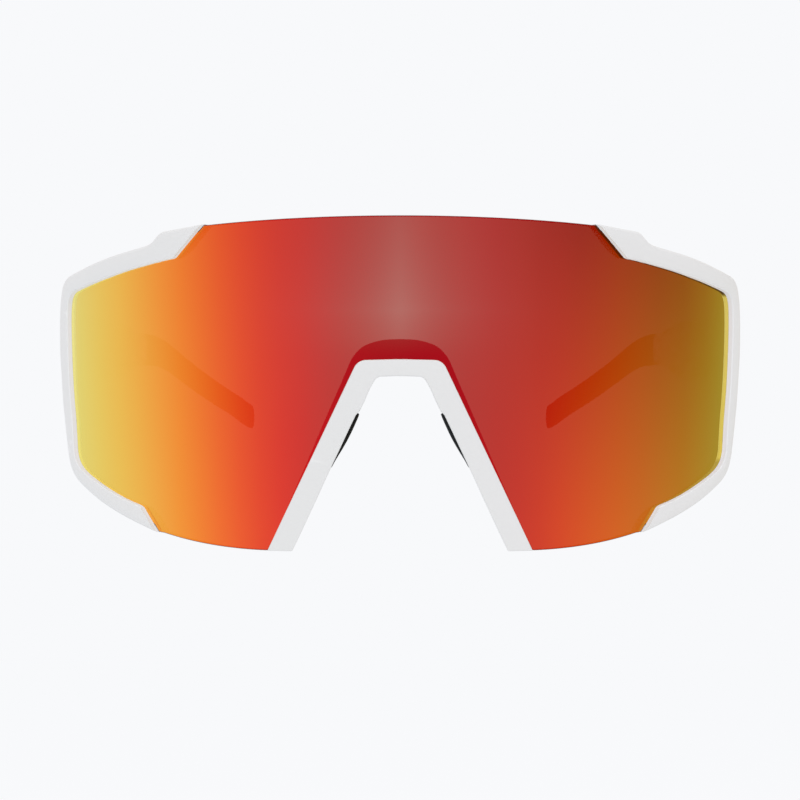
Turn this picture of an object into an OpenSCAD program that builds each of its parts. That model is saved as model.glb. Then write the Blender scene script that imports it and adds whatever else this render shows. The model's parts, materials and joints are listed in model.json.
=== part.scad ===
// Wraparound shield sunglasses: one cylindrical lens held by two side frames
// and a nose bridge, with folding temples on screwed fork hinges.
//
// Frame: +X to the wearer's left, -Y the way the wearer looks, +Z up.
// Origin: mid-plane, half-way along the depth, on the level of the feet of
// the nose bridge. Millimetres.
//
// Most shapes are drawn in "lens space": "along" runs round the front surface
// of the lens from the mid-plane, "up" is the height above the eye line and
// "out" stands off the front surface. A "depth" is measured straight back
// (+Y) from the front of the lens on the mid-plane.
// Paired parts are modelled on the left and mirrored to the right.

/* [Lens] */
// Radius of the front surface of the lens
lens_r = 80; // [79:0.5:81]
// Thickness of the lens
lens_t = 1.8; // [1.6:0.1:1.8]
// Height of the top edge of the lens above the eye line, on the mid-plane
lens_top = 36.2; // [36:0.1:36.5]

/* [Side frames] */
// How far the front lip stands in front of the lens
lip_front = 1.2; // [1:0.1:1.4]
// How far the rear lip stands behind the front surface of the lens
lip_rear = 3.2; // [3:0.1:3.4]
// Width of the solid wall outside the edge of the lens
rim_wall = 1.7; // [1.5:0.1:1.8]

/* [Nose bridge] */
// Height of the top of the bridge above the eye line
bridge_top = 7.9; // [7.6:0.1:8.2]
// Depth of the bridge's web behind the front surface of the lens
bridge_web = 4.2; // [3.8:0.1:4.4]
// Thickness of the rear plate of the nose-pad carrier
carrier_t = 1.75; // [1.5:0.05:2]

/* [Nose pads] */
// Angle of each pad to the fore-and-aft direction
pad_splay = 25; // [15:1:32]
// Radius of the pivot pin of a nose pad
pad_pin_r = 0.5; // [0.4:0.05:0.6]

/* [Hinges] */
// Radius of the hinge knuckles
knuckle_r = 2.5; // [2.3:0.1:2.5]
// Radius of the shank of the hinge screw
screw_r = 0.8; // [0.7:0.05:0.85]
// Height of the tongue of the temple between the ears
tongue_h = 4.6; // [4.2:0.1:4.6]
// Thickness of each hinge washer
washer_t = 0.35; // [0.3:0.05:0.35]

/* [Temples] */
// Height of a temple at its hinge
temple_h = 14.6; // [14:0.1:15]
// Thickness of a temple at its hinge
temple_t = 4.8; // [4.4:0.1:4.9]
// Height of the section of a temple's steel core
core_h = 2.6; // [2:0.1:3]
// Thickness of the section of a temple's steel core
core_t = 0.8; // [0.6:0.1:1]

/* [Hidden] */
$fn = 64;

overall_depth = 166.4;        // front of the bridge to the back of the tips
y_front = -overall_depth / 2 + lip_front;   // front of the lens, mid-plane
y_axis = y_front + lens_r;    // axis of the lens cylinder
eye_z = 29.75;                // height of the eye line over the feet

edge_gap = 0.3;               // between the lens edge and the rim wall
lens_play = 0.06;             // in front of the lens and behind it
hole_play = 0.05;             // round a screw or pin in its hole
press_play = 0.03;            // round the insert and the bush

white = [0.89, 0.89, 0.90];
black = [0.07, 0.07, 0.075];
steel = [0.75, 0.76, 0.78];
brass = [0.80, 0.66, 0.38];
bush_white = [0.93, 0.92, 0.88];
lens_red = [0.86, 0.25, 0.14, 0.85];

// ---- lens space and shared shapes -------------------------------------------
function degrees(along) = along / lens_r * 180 / PI;
function plan_point(along, out) = [(lens_r + out) * sin(degrees(along)),
    y_axis - (lens_r + out) * cos(degrees(along))];
function lens_point(along, up, out) = concat(plan_point(along, out), [up + eye_z]);

function unit(vector) = vector / norm(vector);
function reversed(list) = [for (i = [len(list) - 1 : -1 : 0]) list[i]];

// Catmull-Rom curve through a list of vectors, a number of steps to a span
function blend(before, start, end, after, t) = 0.5 * (2 * start
    + (end - before) * t
    + (2 * before - 5 * start + 4 * end - after) * t * t
    + (3 * start - before - 3 * end + after) * t * t * t);
function curve(points, steps) = let (last = len(points) - 1) concat(
    [for (i = [0 : last - 1], k = [0 : steps - 1])
        blend(points[max(i - 1, 0)], points[i], points[i + 1],
            points[min(i + 2, last)], k / steps)],
    [points[last]]);

// rings of equally many points joined into one closed skin; start_cap and
// end_cap are triangles over the points of the first and last ring
module skin(rings, start_cap, end_cap) {
    size = len(rings[0]);
    last = len(rings) - 1;
    polyhedron(
        points = [for (ring = rings) for (point = ring) point],
        faces = concat(
            [for (i = [0 : last - 1], j = [0 : size - 1])
                let (a = i * size + j, b = i * size + (j + 1) % size)
                    each [[a, b, b + size], [a, b + size, a + size]]],
            [for (face = start_cap) reversed(face)],
            [for (face = end_cap) [for (corner = face) corner + last * size]]));
}
// cap of a convex ring
function fan(size) = [for (i = [1 : size - 2]) [0, i, i + 1]];
// cap of a ring made of two equal chains of points, the second run backwards
function ladder(chain) = let (last = 2 * chain - 1) concat(
    [for (i = [0 : chain - 2]) [i, i + 1, last - 1 - i]],
    [for (i = [0 : chain - 2]) [i, last - 1 - i, last - i]]);

module on_right() { mirror([1, 0, 0]) children(); }
module each_side() {
    children();
    on_right() children();
}
// upright shell between two stand-offs from the lens surface
module shell(inner, outer) {
    translate([0, y_axis, -5]) difference() {
        cylinder(r = lens_r + outer, h = 80, $fn = 256);
        translate([0, 0, -1]) cylinder(r = lens_r + inner, h = 82, $fn = 256);
    }
}
// a flat outline in x and up, run straight back between two depths
module through(front, back) {
    translate([0, y_front + back, eye_z]) rotate([90, 0, 0])
        linear_extrude(height = back - front) children();
}
// the part of a shell inside a flat outline
module shell_piece(inner, outer, front, back) {
    intersection() {
        shell(inner, outer);
        through(front, back) children();
    }
}
module tube(r, hole_r, h) {
    difference() {
        cylinder(r = r, h = h);
        translate([0, 0, -1]) cylinder(r = hole_r, h = h + 2);
    }
}
// cutter for the cross in a screw head
module cross_slot(length, width, h) {
    for (turn = [0, 90]) rotate([0, 0, turn])
        translate([-length / 2, -width / 2, 0]) cube([length, width, h]);
}

// ---- outline of a side frame ------------------------------------------------
// Stations from the upper end round the side to the lower end:
// outer edge along, up; inner edge of the front lip along, up; then the
// inner edge of the rear lip as a distance from the outer edge.
rim_stations = [
    [40.92, 35.11, 47.86, 28.63, 9.3], [43.53, 34.8, 48.63, 28.4, 7.9],
    [46.53, 34.44, 49.47, 28.32, 6.5], [49.23, 34.16, 50.57, 28.17, 5.7],
    [51, 33.93, 51.57, 28.02, 5.4], [52.12, 33.35, 52.37, 27.87, 5],
    [53.25, 32.37, 53.38, 27.74, 4.2], [54.16, 31.79, 54.37, 27.58, 3.8],
    [55.47, 31.34, 55.57, 27.38, 3.6], [58.04, 30.87, 57.97, 26.99, 3.6],
    [62.54, 30.18, 62.27, 26.27, 3.6], [67.56, 29.35, 66.96, 25.39, 3.6],
    [72.56, 28.41, 71.76, 24.53, 3.5], [77.57, 27.38, 76.46, 23.66, 3.4],
    [81.61, 26.59, 80.15, 22.99, 3.4], [84.51, 25.93, 82.14, 22.48, 3.4],
    [86.6, 24.57, 83.44, 21.55, 3.3], [87.77, 22.3, 84.07, 20.18, 3.2],
    [88.44, 19.54, 84.33, 18.29, 3.1], [88.7, 15.21, 84.33, 14.81, 3.1],
    [88.5, 9.92, 83.98, 9.82, 3.1], [87.69, 4.89, 83.46, 4.92, 3.1],
    [86.86, 0.03, 82.71, 0.32, 3.1], [85.67, -4.61, 81.82, -4.09, 3],
    [84.48, -8.84, 81.24, -8.19, 2.9], [83.43, -12.16, 80.86, -10.79, 2.9],
    [81.78, -14.87, 79.86, -12.67, 2.9], [79.08, -16.94, 77.95, -14.22, 3],
    [75.7, -18.54, 75.14, -15.56, 3.1], [71.66, -20.28, 71.54, -16.93, 3.2],
    [67.14, -22.03, 67.35, -18.45, 3.3], [62.63, -23.59, 63.15, -19.84, 3.4],
    [58.72, -24.83, 59.84, -20.8, 3.8], [55.71, -25.76, 58.11, -21.24, 4.8],
    [53.91, -26.3, 57.22, -21.52, 5.5], [52.45, -26.73, 56.64, -21.82, 6.2]];
rim = curve(rim_stations, 2);
function outer_edge(station) = [station[0], station[1]];
function lip_vector(station) = [station[2], station[3]] - outer_edge(station);
// the point at a distance inwards from the outer edge
function across(station, distance) =
    outer_edge(station) + unit(lip_vector(station)) * distance;

function rim_section(station) = let (
    lip = norm(lip_vector(station)),
    rear = station[4],
    lip_mid = (rim_wall + lip) / 2,
    rear_mid = (rim_wall + rear) / 2 - 0.1,
    groove_back = -lens_t - lens_play,
    // distance from the outer edge, out: first the outside, from the front
    // lip round to the rear lip, then the groove, from the back to the front
    profile = [
        [lip, lip_front - 0.35], [lip - 0.35, lip_front],
        [lip_mid, lip_front + 0.03], [rim_wall, lip_front + 0.04],
        [0.55, lip_front - 0.08], [0, lip_front - 0.65],
        [0, 0.5 - lip_rear], [0.5, -lip_rear], [rear - 2.1, -lip_rear],
        [rear - 0.9, 0.75 - lip_rear], [rear, 1.1 - lip_rear],

        [rear, groove_back], [rear - 0.6, groove_back],
        [rear_mid, groove_back], [rim_wall + 0.1, groove_back],
        [rim_wall, groove_back + 0.15], [rim_wall, -0.1],
        [rim_wall + 0.1, lens_play], [rim_wall + 0.35, lens_play],
        [lip_mid, lens_play], [lip - 0.35, lens_play],
        [lip, lens_play + 0.1]])
    [for (corner = profile) let (place = across(station, corner[0]))
        lens_point(place[0], place[1], corner[1])];

// ---- lens -------------------------------------------------------------------
// The edge is square to the surface all round. It is cut from the cylinder by
// a wedge with stations across the lens, each as high as the lens is there.
lens_low = -29.7;             // lower edge across the middle
low_end = 26.9;               // where the straight lower edge ends
top_end = 38;                 // where the table of the upper edge takes over
wedge_reach = 6;              // of the wedge to either side of the surface
function top_up(along) = lens_top - 0.00076 * along * along;
function low_up(along) = -29.74 + 0.00426 * (along - 25) * (along - 25);

rim_edge = [for (i = [3 : len(rim) - 4]) across(rim[i], rim_wall + edge_gap)];
lens_end = max([for (point = rim_edge) point[0]]);
end_index = search(lens_end, rim_edge, 1, 0)[0];
// along, up of the two edges of the lens
upper_edge = concat(
    [for (along = [top_end, 40.3]) [along, top_up(along)]],
    [[40.8, 34.7], [41.9, 33.75], [42.6, 33.3]],
    [for (i = [0 : end_index]) rim_edge[i]]);
lower_edge = concat(
    [for (along = [20, low_end]) [along, lens_low]],
    [for (along = [27.5 : 3 : 51.5]) [along, low_up(along)]],
    [[51.9, -26.35], [53.3, -25.2], [54.3, -24.6]],
    [for (i = [len(rim_edge) - 1 : -1 : end_index]) rim_edge[i]]);
// along of the wedge's stations, closer together where the edge turns
lens_stations = concat(
    [for (along = [0 : 4 : 24]) along],
    [low_end, 27.5, 30.5, 33.5, 36.5, 38.5, 40.3, 40.8, 41.9, 42.6, 43.5],
    [for (along = [46 : 2.5 : 51]) along],
    [51.9, 53.3, 54.3],
    [for (along = [56.5 : 2.5 : 76.5]) along],
    [78, 79.5, 80.5, 81.5, 82.3, 83, 83.6, 84.2, 84.7, 85.1, 85.4, 85.65,
        85.85, lens_end - 0.03]);
function wedge_ring(along) = let (
    side = abs(along),
    top = side < top_end ? top_up(side) : lookup(side, upper_edge),
    low = side < low_end ? lens_low : lookup(side, lower_edge))
    [lens_point(along, top, wedge_reach), lens_point(along, top, -wedge_reach),
        lens_point(along, low, -wedge_reach), lens_point(along, low, wedge_reach)];

module lens() {
    last = len(lens_stations) - 1;
    color(lens_red) intersection() {
        shell(-lens_t, 0);
        difference() {
            skin(concat([for (i = [last : -1 : 1]) wedge_ring(-lens_stations[i])],
                [for (along = lens_stations) wedge_ring(along)]), fan(4), fan(4));
            through(-2, 24) bridge_outer(1.85);
            // strip over the feet of the bridge
            through(-2, 24) translate([-26.45, -32]) square([52.9, 3.7]);
        }
    }
}

// ---- hinge ------------------------------------------------------------------
hinge_x = 70.4;
hinge_depth = 55;
hinge_y = y_front + hinge_depth;
hinge_up = 11.4;
hinge_z = eye_z + hinge_up;   // middle of the knuckles
ear_top = hinge_z + temple_h / 2;
ear_low = hinge_z - temple_h / 2;
washer_gap = 0.025;           // above and below each washer
fork = tongue_h / 2 + washer_t + 2 * washer_gap;   // half the gap of the ears
screw_head_r = 1.45;
insert_r = 1.27;
bush_r = 1.2;
washer_r = 2.25;
module at_hinge(z) { translate([hinge_x, hinge_y, z]) children(); }

// The arm from the side frame to the ears. Seen from above: x, depth of its
// outer face, front to back, and of its inner face, back to front.
arm_outer = [[71.75, 43.6], [72.2, 45.6], [72.55, 48], [72.75, 51],
    [hinge_x + knuckle_r, hinge_depth]];
arm_inner = [[67.85, 51], [67.55, 48], [67.0, 45.6], [66.5, 44.2]];
// Seen from the side: depth, up of its upper edge, front to back, and of its
// lower edge, back to front.
arm_upper = [[40, 23.2], [43.5, 22.6], [46.5, 20.8], [49.5, 19.3],
    [52.5, hinge_up + temple_h / 2]];
arm_lower = [[52.5, hinge_up - temple_h / 2], [49.5, 3.5], [46.5, 2.3],
    [43.5, 1.3], [40, 1.0]];
function from_above(table) = [for (p = curve(table, 3)) [p[0], y_front + p[1]]];
function from_side(table) = [for (p = curve(table, 3)) [y_front + p[0], eye_z + p[1]]];

module endpiece() {
    plan = concat(
        [plan_point(86.95, 0.75), plan_point(87.6, 0.62)],
        from_above(arm_outer),
        [[hinge_x - knuckle_r, hinge_y]],
        from_above(arm_inner),
        [plan_point(85.6, -lip_rear + 0.2), plan_point(85.9, -lens_t - 0.6),
            plan_point(86.95, -lens_t - 0.6)]);
    side = concat(
        from_side(arm_upper),
        [[hinge_y + 4, ear_top], [hinge_y + 4, ear_low]],
        from_side(arm_lower));
    difference() {
        union() {
            intersection() {
                translate([0, 0, eye_z - 5])
                    linear_extrude(height = 40) polygon(plan);
                translate([60, 0, 0]) rotate([90, 0, 90])
                    linear_extrude(height = 20) polygon(side);
            }
            at_hinge(ear_low) cylinder(r = knuckle_r, h = temple_h);
        }
        // gap for the tongue of the temple
        translate([hinge_x - 6, hinge_y - 2.8, hinge_z - fork])
            cube([12, 9, 2 * fork]);
        // screw hole with its counterbore, and the seat of the insert
        at_hinge(hinge_z) cylinder(r = screw_r + hole_play, h = 20);
        at_hinge(ear_top - 1.2) cylinder(r = screw_head_r + 0.1, h = 3);
        at_hinge(ear_low - 1) cylinder(r = insert_r + press_play, h = temple_h / 2);
    }
}
module side_frame() {
    color(white) union() {
        skin([for (station = rim) rim_section(station)], ladder(11), ladder(11));
        endpiece();
    }
}
module hinge_screw() {
    color(steel) difference() {
        union() {
            at_hinge(ear_low + 0.6) cylinder(r = screw_r, h = temple_h - 1.7);
            at_hinge(ear_top - 1.15) cylinder(r = screw_head_r, h = 1.0);
        }
        at_hinge(ear_top - 0.65) cross_slot(length = 1.9, width = 0.32, h = 2);
    }
}
module hinge_insert() {
    color(brass) at_hinge(ear_low + 0.3)
        tube(r = insert_r, hole_r = screw_r + press_play, h = 4.0);
}
module hinge_bush() {
    color(bush_white) at_hinge(hinge_z - tongue_h / 2)
        tube(r = bush_r, hole_r = screw_r + hole_play, h = tongue_h);
}
module hinge_washers() {
    inner_face = tongue_h / 2 + washer_gap;
    color(steel) for (z = [inner_face, -inner_face - washer_t])
        at_hinge(hinge_z + z)
            tube(r = washer_r, hole_r = screw_r + hole_play, h = washer_t);
}

// ---- nose bridge and the carrier behind it ----------------------------------
bridge_screw_at = [[7.75, 2.1], [18.3, -20.6]];   // x, up
bridge_screw_r = 0.5;
bridge_head_r = 1.05;
web_front = 0.3;              // stand-off of the front of the web and feet
// depth of the seat of a screw head
function seat_depth(x) = 5.6 + 0.0068 * x * x;

// outer and inner edges of the bridge: slanted legs with a rounded top,
// moved in towards the middle of the leg by an inset
module bridge_outer(inset) {
    intersection() {
        offset(r = 2.6, $fn = 48) offset(delta = -2.6 - inset)
            polygon([[-35.55, -49.4], [-8.31, bridge_top - 0.1],
                [0, bridge_top + 0.1], [8.31, bridge_top - 0.1],
                [35.55, -49.4]]);
        translate([-40, -eye_z]) square([80, 60]);
    }
}
module bridge_inner(inset) {
    offset(r = 1.5, $fn = 48) offset(delta = -1.5 + inset)
        polygon([[-33.15, -54.4], [-4.62, 4.5], [0, 4.68], [4.62, 4.5],
            [33.15, -54.4]]);
}
// fore-and-aft holes on both sides of the mid-plane, between two depths
module bridge_holes(place, r, front, back) {
    for (side = [-1, 1])
        translate([side * place[0], y_front + back, place[1] + eye_z])
            rotate([90, 0, 0]) cylinder(r = r, h = back - front);
}
module nose_bridge() {
    color(white) difference() {
        union() {
            // plate in front of the lens
            shell_piece(0.05, lip_front, -4, 12) difference() {
                bridge_outer(0);
                bridge_inner(0);
            }
            // web through the opening of the lens
            shell_piece(-bridge_web, web_front, -4, 14) difference() {
                bridge_outer(2.05);
                bridge_inner(0.25);
            }
            // feet, closed under the lower edge of the lens
            shell_piece(-bridge_web, web_front, -4, 14) difference() {
                bridge_outer(0.05);
                bridge_inner(0.25);
                translate([-40, -28.5]) square([80, 60]);
                translate([-24, -35]) square([48, 4]);
            }
        }
        for (place = bridge_screw_at)
            bridge_holes(place, bridge_screw_r + 0.02, 1.2, 12);
    }
}

// x, up of the left half of the carrier, from the top down
carrier_low = -23.3;
carrier_half = [[0, 12.0], [3, 11.85], [5, 11.45], [6.8, 10.8], [8.0, 10.0],
    [9.0, 8.9], [9.8, 7.6], [11.6, 3.4], [13.6, -1.1], [15.85, -6.3],
    [18.2, -11.8], [20.55, -17.2], [22.2, -21.0], [22.4, -22.4],
    [21.7, carrier_low]];
module carrier_outline() {
    half = curve(carrier_half, 3);
    polygon(concat(half, [for (x = [17, 0, -17]) [x, carrier_low]],
        [for (i = [len(half) - 1 : -1 : 1]) [-half[i][0], half[i][1]]]));
}

// pivot of a nose pad: x back, y away from the nose, z down the leg
pivot_z = unit([0.437, 0.076, -0.897]);
pivot_x = unit([0, 1, 0] - pivot_z[1] * pivot_z);
pivot_y = cross(pivot_z, pivot_x);
pivot_at = [11.95, y_front + 9.05, eye_z - 7.6];
pad_pin_length = 16;
module at_pad() {
    multmatrix([for (i = [0 : 2])
        [pivot_x[i], pivot_y[i], pivot_z[i], pivot_at[i]]]) children();
}
module pad_pin_hole(play) {
    translate([0, 0, -12]) cylinder(r = pad_pin_r + play, h = 24);
}

module nose_pad_carrier() {
    lug_t = 1.6;
    color(black) difference() {
        union() {
            // layer behind the lens, round the web of the bridge
            shell_piece(-bridge_web - 0.4, -lens_t - lens_play, -1, 14)
                difference() {
                    carrier_outline();
                    bridge_outer(2.0);
                }
            // rear plate
            shell_piece(-bridge_web - 0.05 - carrier_t, -bridge_web - 0.05, -1, 16)
                difference() {
                    carrier_outline();
                    bridge_inner(0.5);
                }
            // lugs at both ends of each pad's pin
            each_side() at_pad() for (z = [-7.9, 6.3]) {
                translate([0, 0, z]) cylinder(r = 1.15, h = lug_t);
                translate([-2.7, -1.1, z]) cube([2.7, 2.2, lug_t]);
            }
        }
        for (place = bridge_screw_at) {
            bridge_holes(place, bridge_screw_r + 0.15, 3, 14);
            bridge_holes(place, bridge_head_r + 0.1, seat_depth(place[0]), 14);
        }
        each_side() at_pad() pad_pin_hole(0.02);
    }
}
module bridge_screws() {
    color(steel) for (place = bridge_screw_at, side = [-1, 1])
        translate([side * place[0], y_front + seat_depth(place[0]),
                place[1] + eye_z]) rotate([-90, 0, 0]) {
            translate([0, 0, -3.4]) cylinder(r = bridge_screw_r, h = 3.6);
            difference() {
                translate([0, 0, 0.03]) cylinder(r = bridge_head_r, h = 0.75);
                translate([0, 0, 0.45])
                    cross_slot(length = 1.5, width = 0.28, h = 1);
            }
        }
}
module nose_pad_pin() {
    color(steel) at_pad() translate([0, 0, -pad_pin_length / 2])
        cylinder(r = pad_pin_r, h = pad_pin_length);
}

// the blade of a pad: an oval plate whose rim bends away from the nose
blade_x = 6.1;                // middle of the blade from the pivot
blade_z = 2.6;
blade_half_length = 9.6;
blade_half_width = 4.1;
blade_half_t = 0.95;
// ring across the blade at t, from -1 at the upper end to 1 at the lower
function blade_ring(t) = let (
    down = blade_half_length * t,
    taper = sqrt(max(1 - t * t, 0.012)))
    [for (k = [0 : 15]) let (
            angle = -k * 22.5,
            off = blade_half_width * taper * cos(angle),
            x = blade_x + off,
            y = blade_half_t * sqrt(taper) * sin(angle) * (sin(angle) > 0 ? 0.85 : 1.1)
                + 0.018 * off * off + 0.012 * down * down)
        [x * cos(pad_splay) - y * sin(pad_splay),
            x * sin(pad_splay) + y * cos(pad_splay) - 1.0, blade_z + down]];
module nose_pad() {
    barrel_r = 1.79;
    color(black) at_pad() difference() {
        union() {
            // the barrel swells a little and tapers towards its lower end
            translate([0, 0, -6.2]) cylinder(r1 = 1.68, r2 = barrel_r, h = 4.0);
            translate([0, 0, -2.2]) cylinder(r1 = barrel_r, r2 = 1.3, h = 6.4);
            translate([0, 0, 4.1]) cylinder(r = 1.18, h = 2.1);
            // neck from the barrel to the blade
            rotate([0, 0, pad_splay]) translate([0, -1.55, -4.6])
                cube([4.2, 1.5, 8.6]);
            skin([for (t = [-1 : 0.125 : 1]) blade_ring(t)], fan(16), fan(16));
        }
        pad_pin_hole(hole_play);
    }
}

// ---- temples ----------------------------------------------------------------
// Stations down a temple and its tip: depth, x, up, height, thickness
temple_stations = [
    [57.8, 70.45, 11.40, temple_h, temple_t],
    [63, 70.10, 11.45, temple_h - 0.4, temple_t - 0.2],
    [72, 69.20, 11.55, temple_h - 0.6, temple_t - 0.6],
    [82, 67.80, 11.55, 13.7, 3.9], [88, 66.85, 11.55, 13.45, 3.75],
    [92, 66.15, 11.62, 12.9, 3.7], [96, 65.35, 11.78, 11.8, 3.65],
    [100, 64.50, 11.95, 10.3, 3.6], [104, 63.70, 12.05, 8.8, 3.6],
    [107, 63.06, 12.08, 7.9, 3.6], [110.5, 62.25, 12.10, 7.4, 3.6]];
tip_stations = [
    [110.6, 62.25, 12.10, 7.6, 4.0], [114, 61.35, 12.12, 7.5, 4.1],
    [117.5, 60.25, 11.95, 7.3, 4.2], [122.6, 58.35, 11.30, 6.4, 4.2],
    [129, 55.80, 9.35, 5.4, 4.2], [136.7, 52.65, 6.45, 5.15, 4.2],
    [148, 47.75, 2.35, 5.1, 4.2], [157.6, 43.45, -0.85, 5.1, 4.2],
    [160.6, 42.00, -1.95, 5.25, 4.15], [162.0, 41.05, -2.75, 5.6, 4.0],
    [162.8, 40.10, -3.50, 6.0, 3.8], [163.25, 39.20, -4.10, 6.1, 3.7],
    [163.5, 38.50, -4.40, 5.9, 3.5], [163.56, 38.20, -4.45, 4.9, 2.8]];
temple_run = curve(temple_stations, 3);
tip_run = curve(tip_stations, 3);
// the stations of a run between two depths
function part(run, front, back) =
    [for (station = run) if (station[0] > front && station[0] < back) station];

// a quarter of the section, in half thicknesses and half heights
quarter = [[1, 0.45], [0.93, 0.74], [0.72, 0.93], [0.42, 1]];
oblong = concat(quarter,
    [for (corner = reversed(quarter)) [-corner[0], corner[1]]],
    [for (corner = quarter) -corner],
    [for (corner = reversed(quarter)) [corner[0], -corner[1]]]);
// a rounded oblong ring of 16 points, upright and square to the run in plan
function ring(run, i, height, thickness) = let (
    here = run[i],
    way = run[min(i + 1, len(run) - 1)] - run[max(i - 1, 0)],
    sideways = unit([way[0], -way[1], 0]))
    [for (corner = oblong) [here[1], y_front + here[0], eye_z + here[2]]
        + sideways * (corner[0] * thickness / 2)
        + [0, 0, corner[1] * height / 2]];
function body_rings(run) =
    [for (i = [0 : len(run) - 1]) ring(run, i, run[i][3], run[i][4])];
function core_rings(run, play) =
    [for (i = [0 : len(run) - 1]) ring(run, i, core_h + play, core_t + play)];
core_play = 0.1;              // added to the core's section for its bore

module temple() {
    color(white) difference() {
        union() {
            // down the outside, then back up the bore to its blind end
            skin(concat(body_rings(temple_run),
                reversed(core_rings(part(temple_run, 97, 111), core_play))),
                fan(16), fan(16));
            at_hinge(hinge_z - tongue_h / 2) {
                cylinder(r = knuckle_r, h = tongue_h);
                translate([-2.2, 0, 0]) cube([4.55, 4.6, tongue_h]);
                // heel that stops the temple when it is open
                translate([0, -2.7, 0]) cube([2.4, 3, tongue_h]);
            }
        }
        at_hinge(hinge_z - 10) cylinder(r = bush_r + press_play, h = 20);
    }
}
module temple_tip() {
    // from the blind end of the bore to the front, then down the outside
    color(black) skin(
        concat(reversed(core_rings(part(tip_run, 110, 158), core_play)),
            body_rings(tip_run)), fan(16), fan(16));
}
module temple_core() {
    run = concat(part(temple_run, 97.5, 111), part(tip_run, 111, 157));
    color(steel) skin(core_rings(run, 0), fan(16), fan(16));
}

lens();
side_frame();  // side_frame_left
on_right() side_frame();  // side_frame_right
nose_bridge();
nose_pad_carrier();
bridge_screws();
nose_pad();  // nose_pad_left
on_right() nose_pad();  // nose_pad_right
nose_pad_pin();  // nose_pad_pin_left
on_right() nose_pad_pin();  // nose_pad_pin_right
hinge_screw();  // hinge_screw_left
on_right() hinge_screw();  // hinge_screw_right
hinge_insert();  // hinge_insert_left
on_right() hinge_insert();  // hinge_insert_right
hinge_bush();  // hinge_bush_left
on_right() hinge_bush();  // hinge_bush_right
hinge_washers();  // hinge_washers_left
on_right() hinge_washers();  // hinge_washers_right
temple();  // temple_left
on_right() temple();  // temple_right
temple_tip();  // temple_tip_left
on_right() temple_tip();  // temple_tip_right
temple_core();  // temple_core_left
on_right() temple_core();  // temple_core_right
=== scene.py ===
"""Shield sunglasses: a cylindrical mirror lens, two white side frames and a nose bridge,
a black pad carrier, hinged temples with rubber tips, and soft nose pads.

+Z is up, the lens faces -Y, the temples run back along +Y and the wearer's left is +X.
Shapes are worked out in millimetres and scaled to metres when a mesh is made."""
import json
import math
import bmesh
import bpy
import numpy as np
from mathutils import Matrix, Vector
from mathutils.geometry import delaunay_2d_cdt


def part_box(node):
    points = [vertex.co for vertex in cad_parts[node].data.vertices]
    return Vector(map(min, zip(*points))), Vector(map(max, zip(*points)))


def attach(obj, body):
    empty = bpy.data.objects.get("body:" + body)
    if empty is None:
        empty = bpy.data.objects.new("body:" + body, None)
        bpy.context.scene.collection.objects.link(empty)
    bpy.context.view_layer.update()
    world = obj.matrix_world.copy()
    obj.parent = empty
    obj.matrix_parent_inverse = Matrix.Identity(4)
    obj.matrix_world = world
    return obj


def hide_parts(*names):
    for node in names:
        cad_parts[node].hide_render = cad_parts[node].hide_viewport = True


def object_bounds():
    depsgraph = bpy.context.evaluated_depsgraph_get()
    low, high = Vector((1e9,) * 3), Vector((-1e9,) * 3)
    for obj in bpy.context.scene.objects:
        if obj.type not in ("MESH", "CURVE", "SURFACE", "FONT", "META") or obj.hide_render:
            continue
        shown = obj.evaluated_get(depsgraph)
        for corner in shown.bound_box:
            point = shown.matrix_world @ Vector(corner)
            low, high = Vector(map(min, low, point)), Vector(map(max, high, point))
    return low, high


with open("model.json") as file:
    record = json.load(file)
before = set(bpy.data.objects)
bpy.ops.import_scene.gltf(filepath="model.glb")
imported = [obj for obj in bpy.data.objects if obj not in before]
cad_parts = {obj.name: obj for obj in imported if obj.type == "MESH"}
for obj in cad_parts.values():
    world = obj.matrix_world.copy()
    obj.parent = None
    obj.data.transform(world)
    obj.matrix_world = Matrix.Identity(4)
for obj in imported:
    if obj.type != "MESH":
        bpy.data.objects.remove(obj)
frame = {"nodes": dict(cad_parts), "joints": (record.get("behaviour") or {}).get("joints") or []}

cad_lo, cad_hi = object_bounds()


# ---- driving dimensions, in millimetres ------------------------------------

def mm_box(node):
    low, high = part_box(node)
    return np.array(low) * 1000, np.array(high) * 1000


JOINTS = {joint["child"]: joint for joint in frame["joints"]}
LENS_LOW, LENS_HIGH = mm_box("lens")
LENS_R = 80.0                    # radius of the lens's front surface
LENS_T = 1.8
LENS_TOP = 36.2                  # crown of the lens over the eye line
LENS_Y = LENS_LOW[1]             # front of the lens on the mid-plane
AXIS_Y = LENS_Y + LENS_R         # axis of the lens cylinder
EYE = LENS_HIGH[2] - LENS_TOP    # eye line over the feet
LIP_FRONT = 1.2                  # how far the white parts stand proud of the lens

HINGE_X, HINGE_Y, HINGE_Z = np.array(JOINTS["temple_left"]["pos_m"]) * 1000
KNUCKLE_R = 2.5
EAR_TOP = mm_box("hinge_screw_left")[1][2] + 0.15
EAR_LOW = 2 * HINGE_Z - EAR_TOP
BUSH_LOW, BUSH_HIGH = mm_box("hinge_bush_left")
TONGUE_H = BUSH_HIGH[2] - BUSH_LOW[2]


def lens_point(u, v, w):
    """lens space: u round the lens, v over the eye line, w off its surface"""
    angle = np.asarray(u, float) / LENS_R
    return np.stack([(LENS_R + w) * np.sin(angle), AXIS_Y - (LENS_R + w) * np.cos(angle),
                     np.asarray(v, float) + EYE + 0 * angle], -1)


def cut_point(x, v, w):
    """the same, but for an outline cut straight back"""
    x = np.asarray(x, float)
    return np.stack([x, AXIS_Y - np.sqrt((LENS_R + w) ** 2 - x ** 2),
                     np.asarray(v, float) + EYE + 0 * x], -1)


# ---- curves and outlines ---------------------------------------------------

def unit(vector):
    vector = np.asarray(vector, float)
    return vector / np.linalg.norm(vector)


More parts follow.
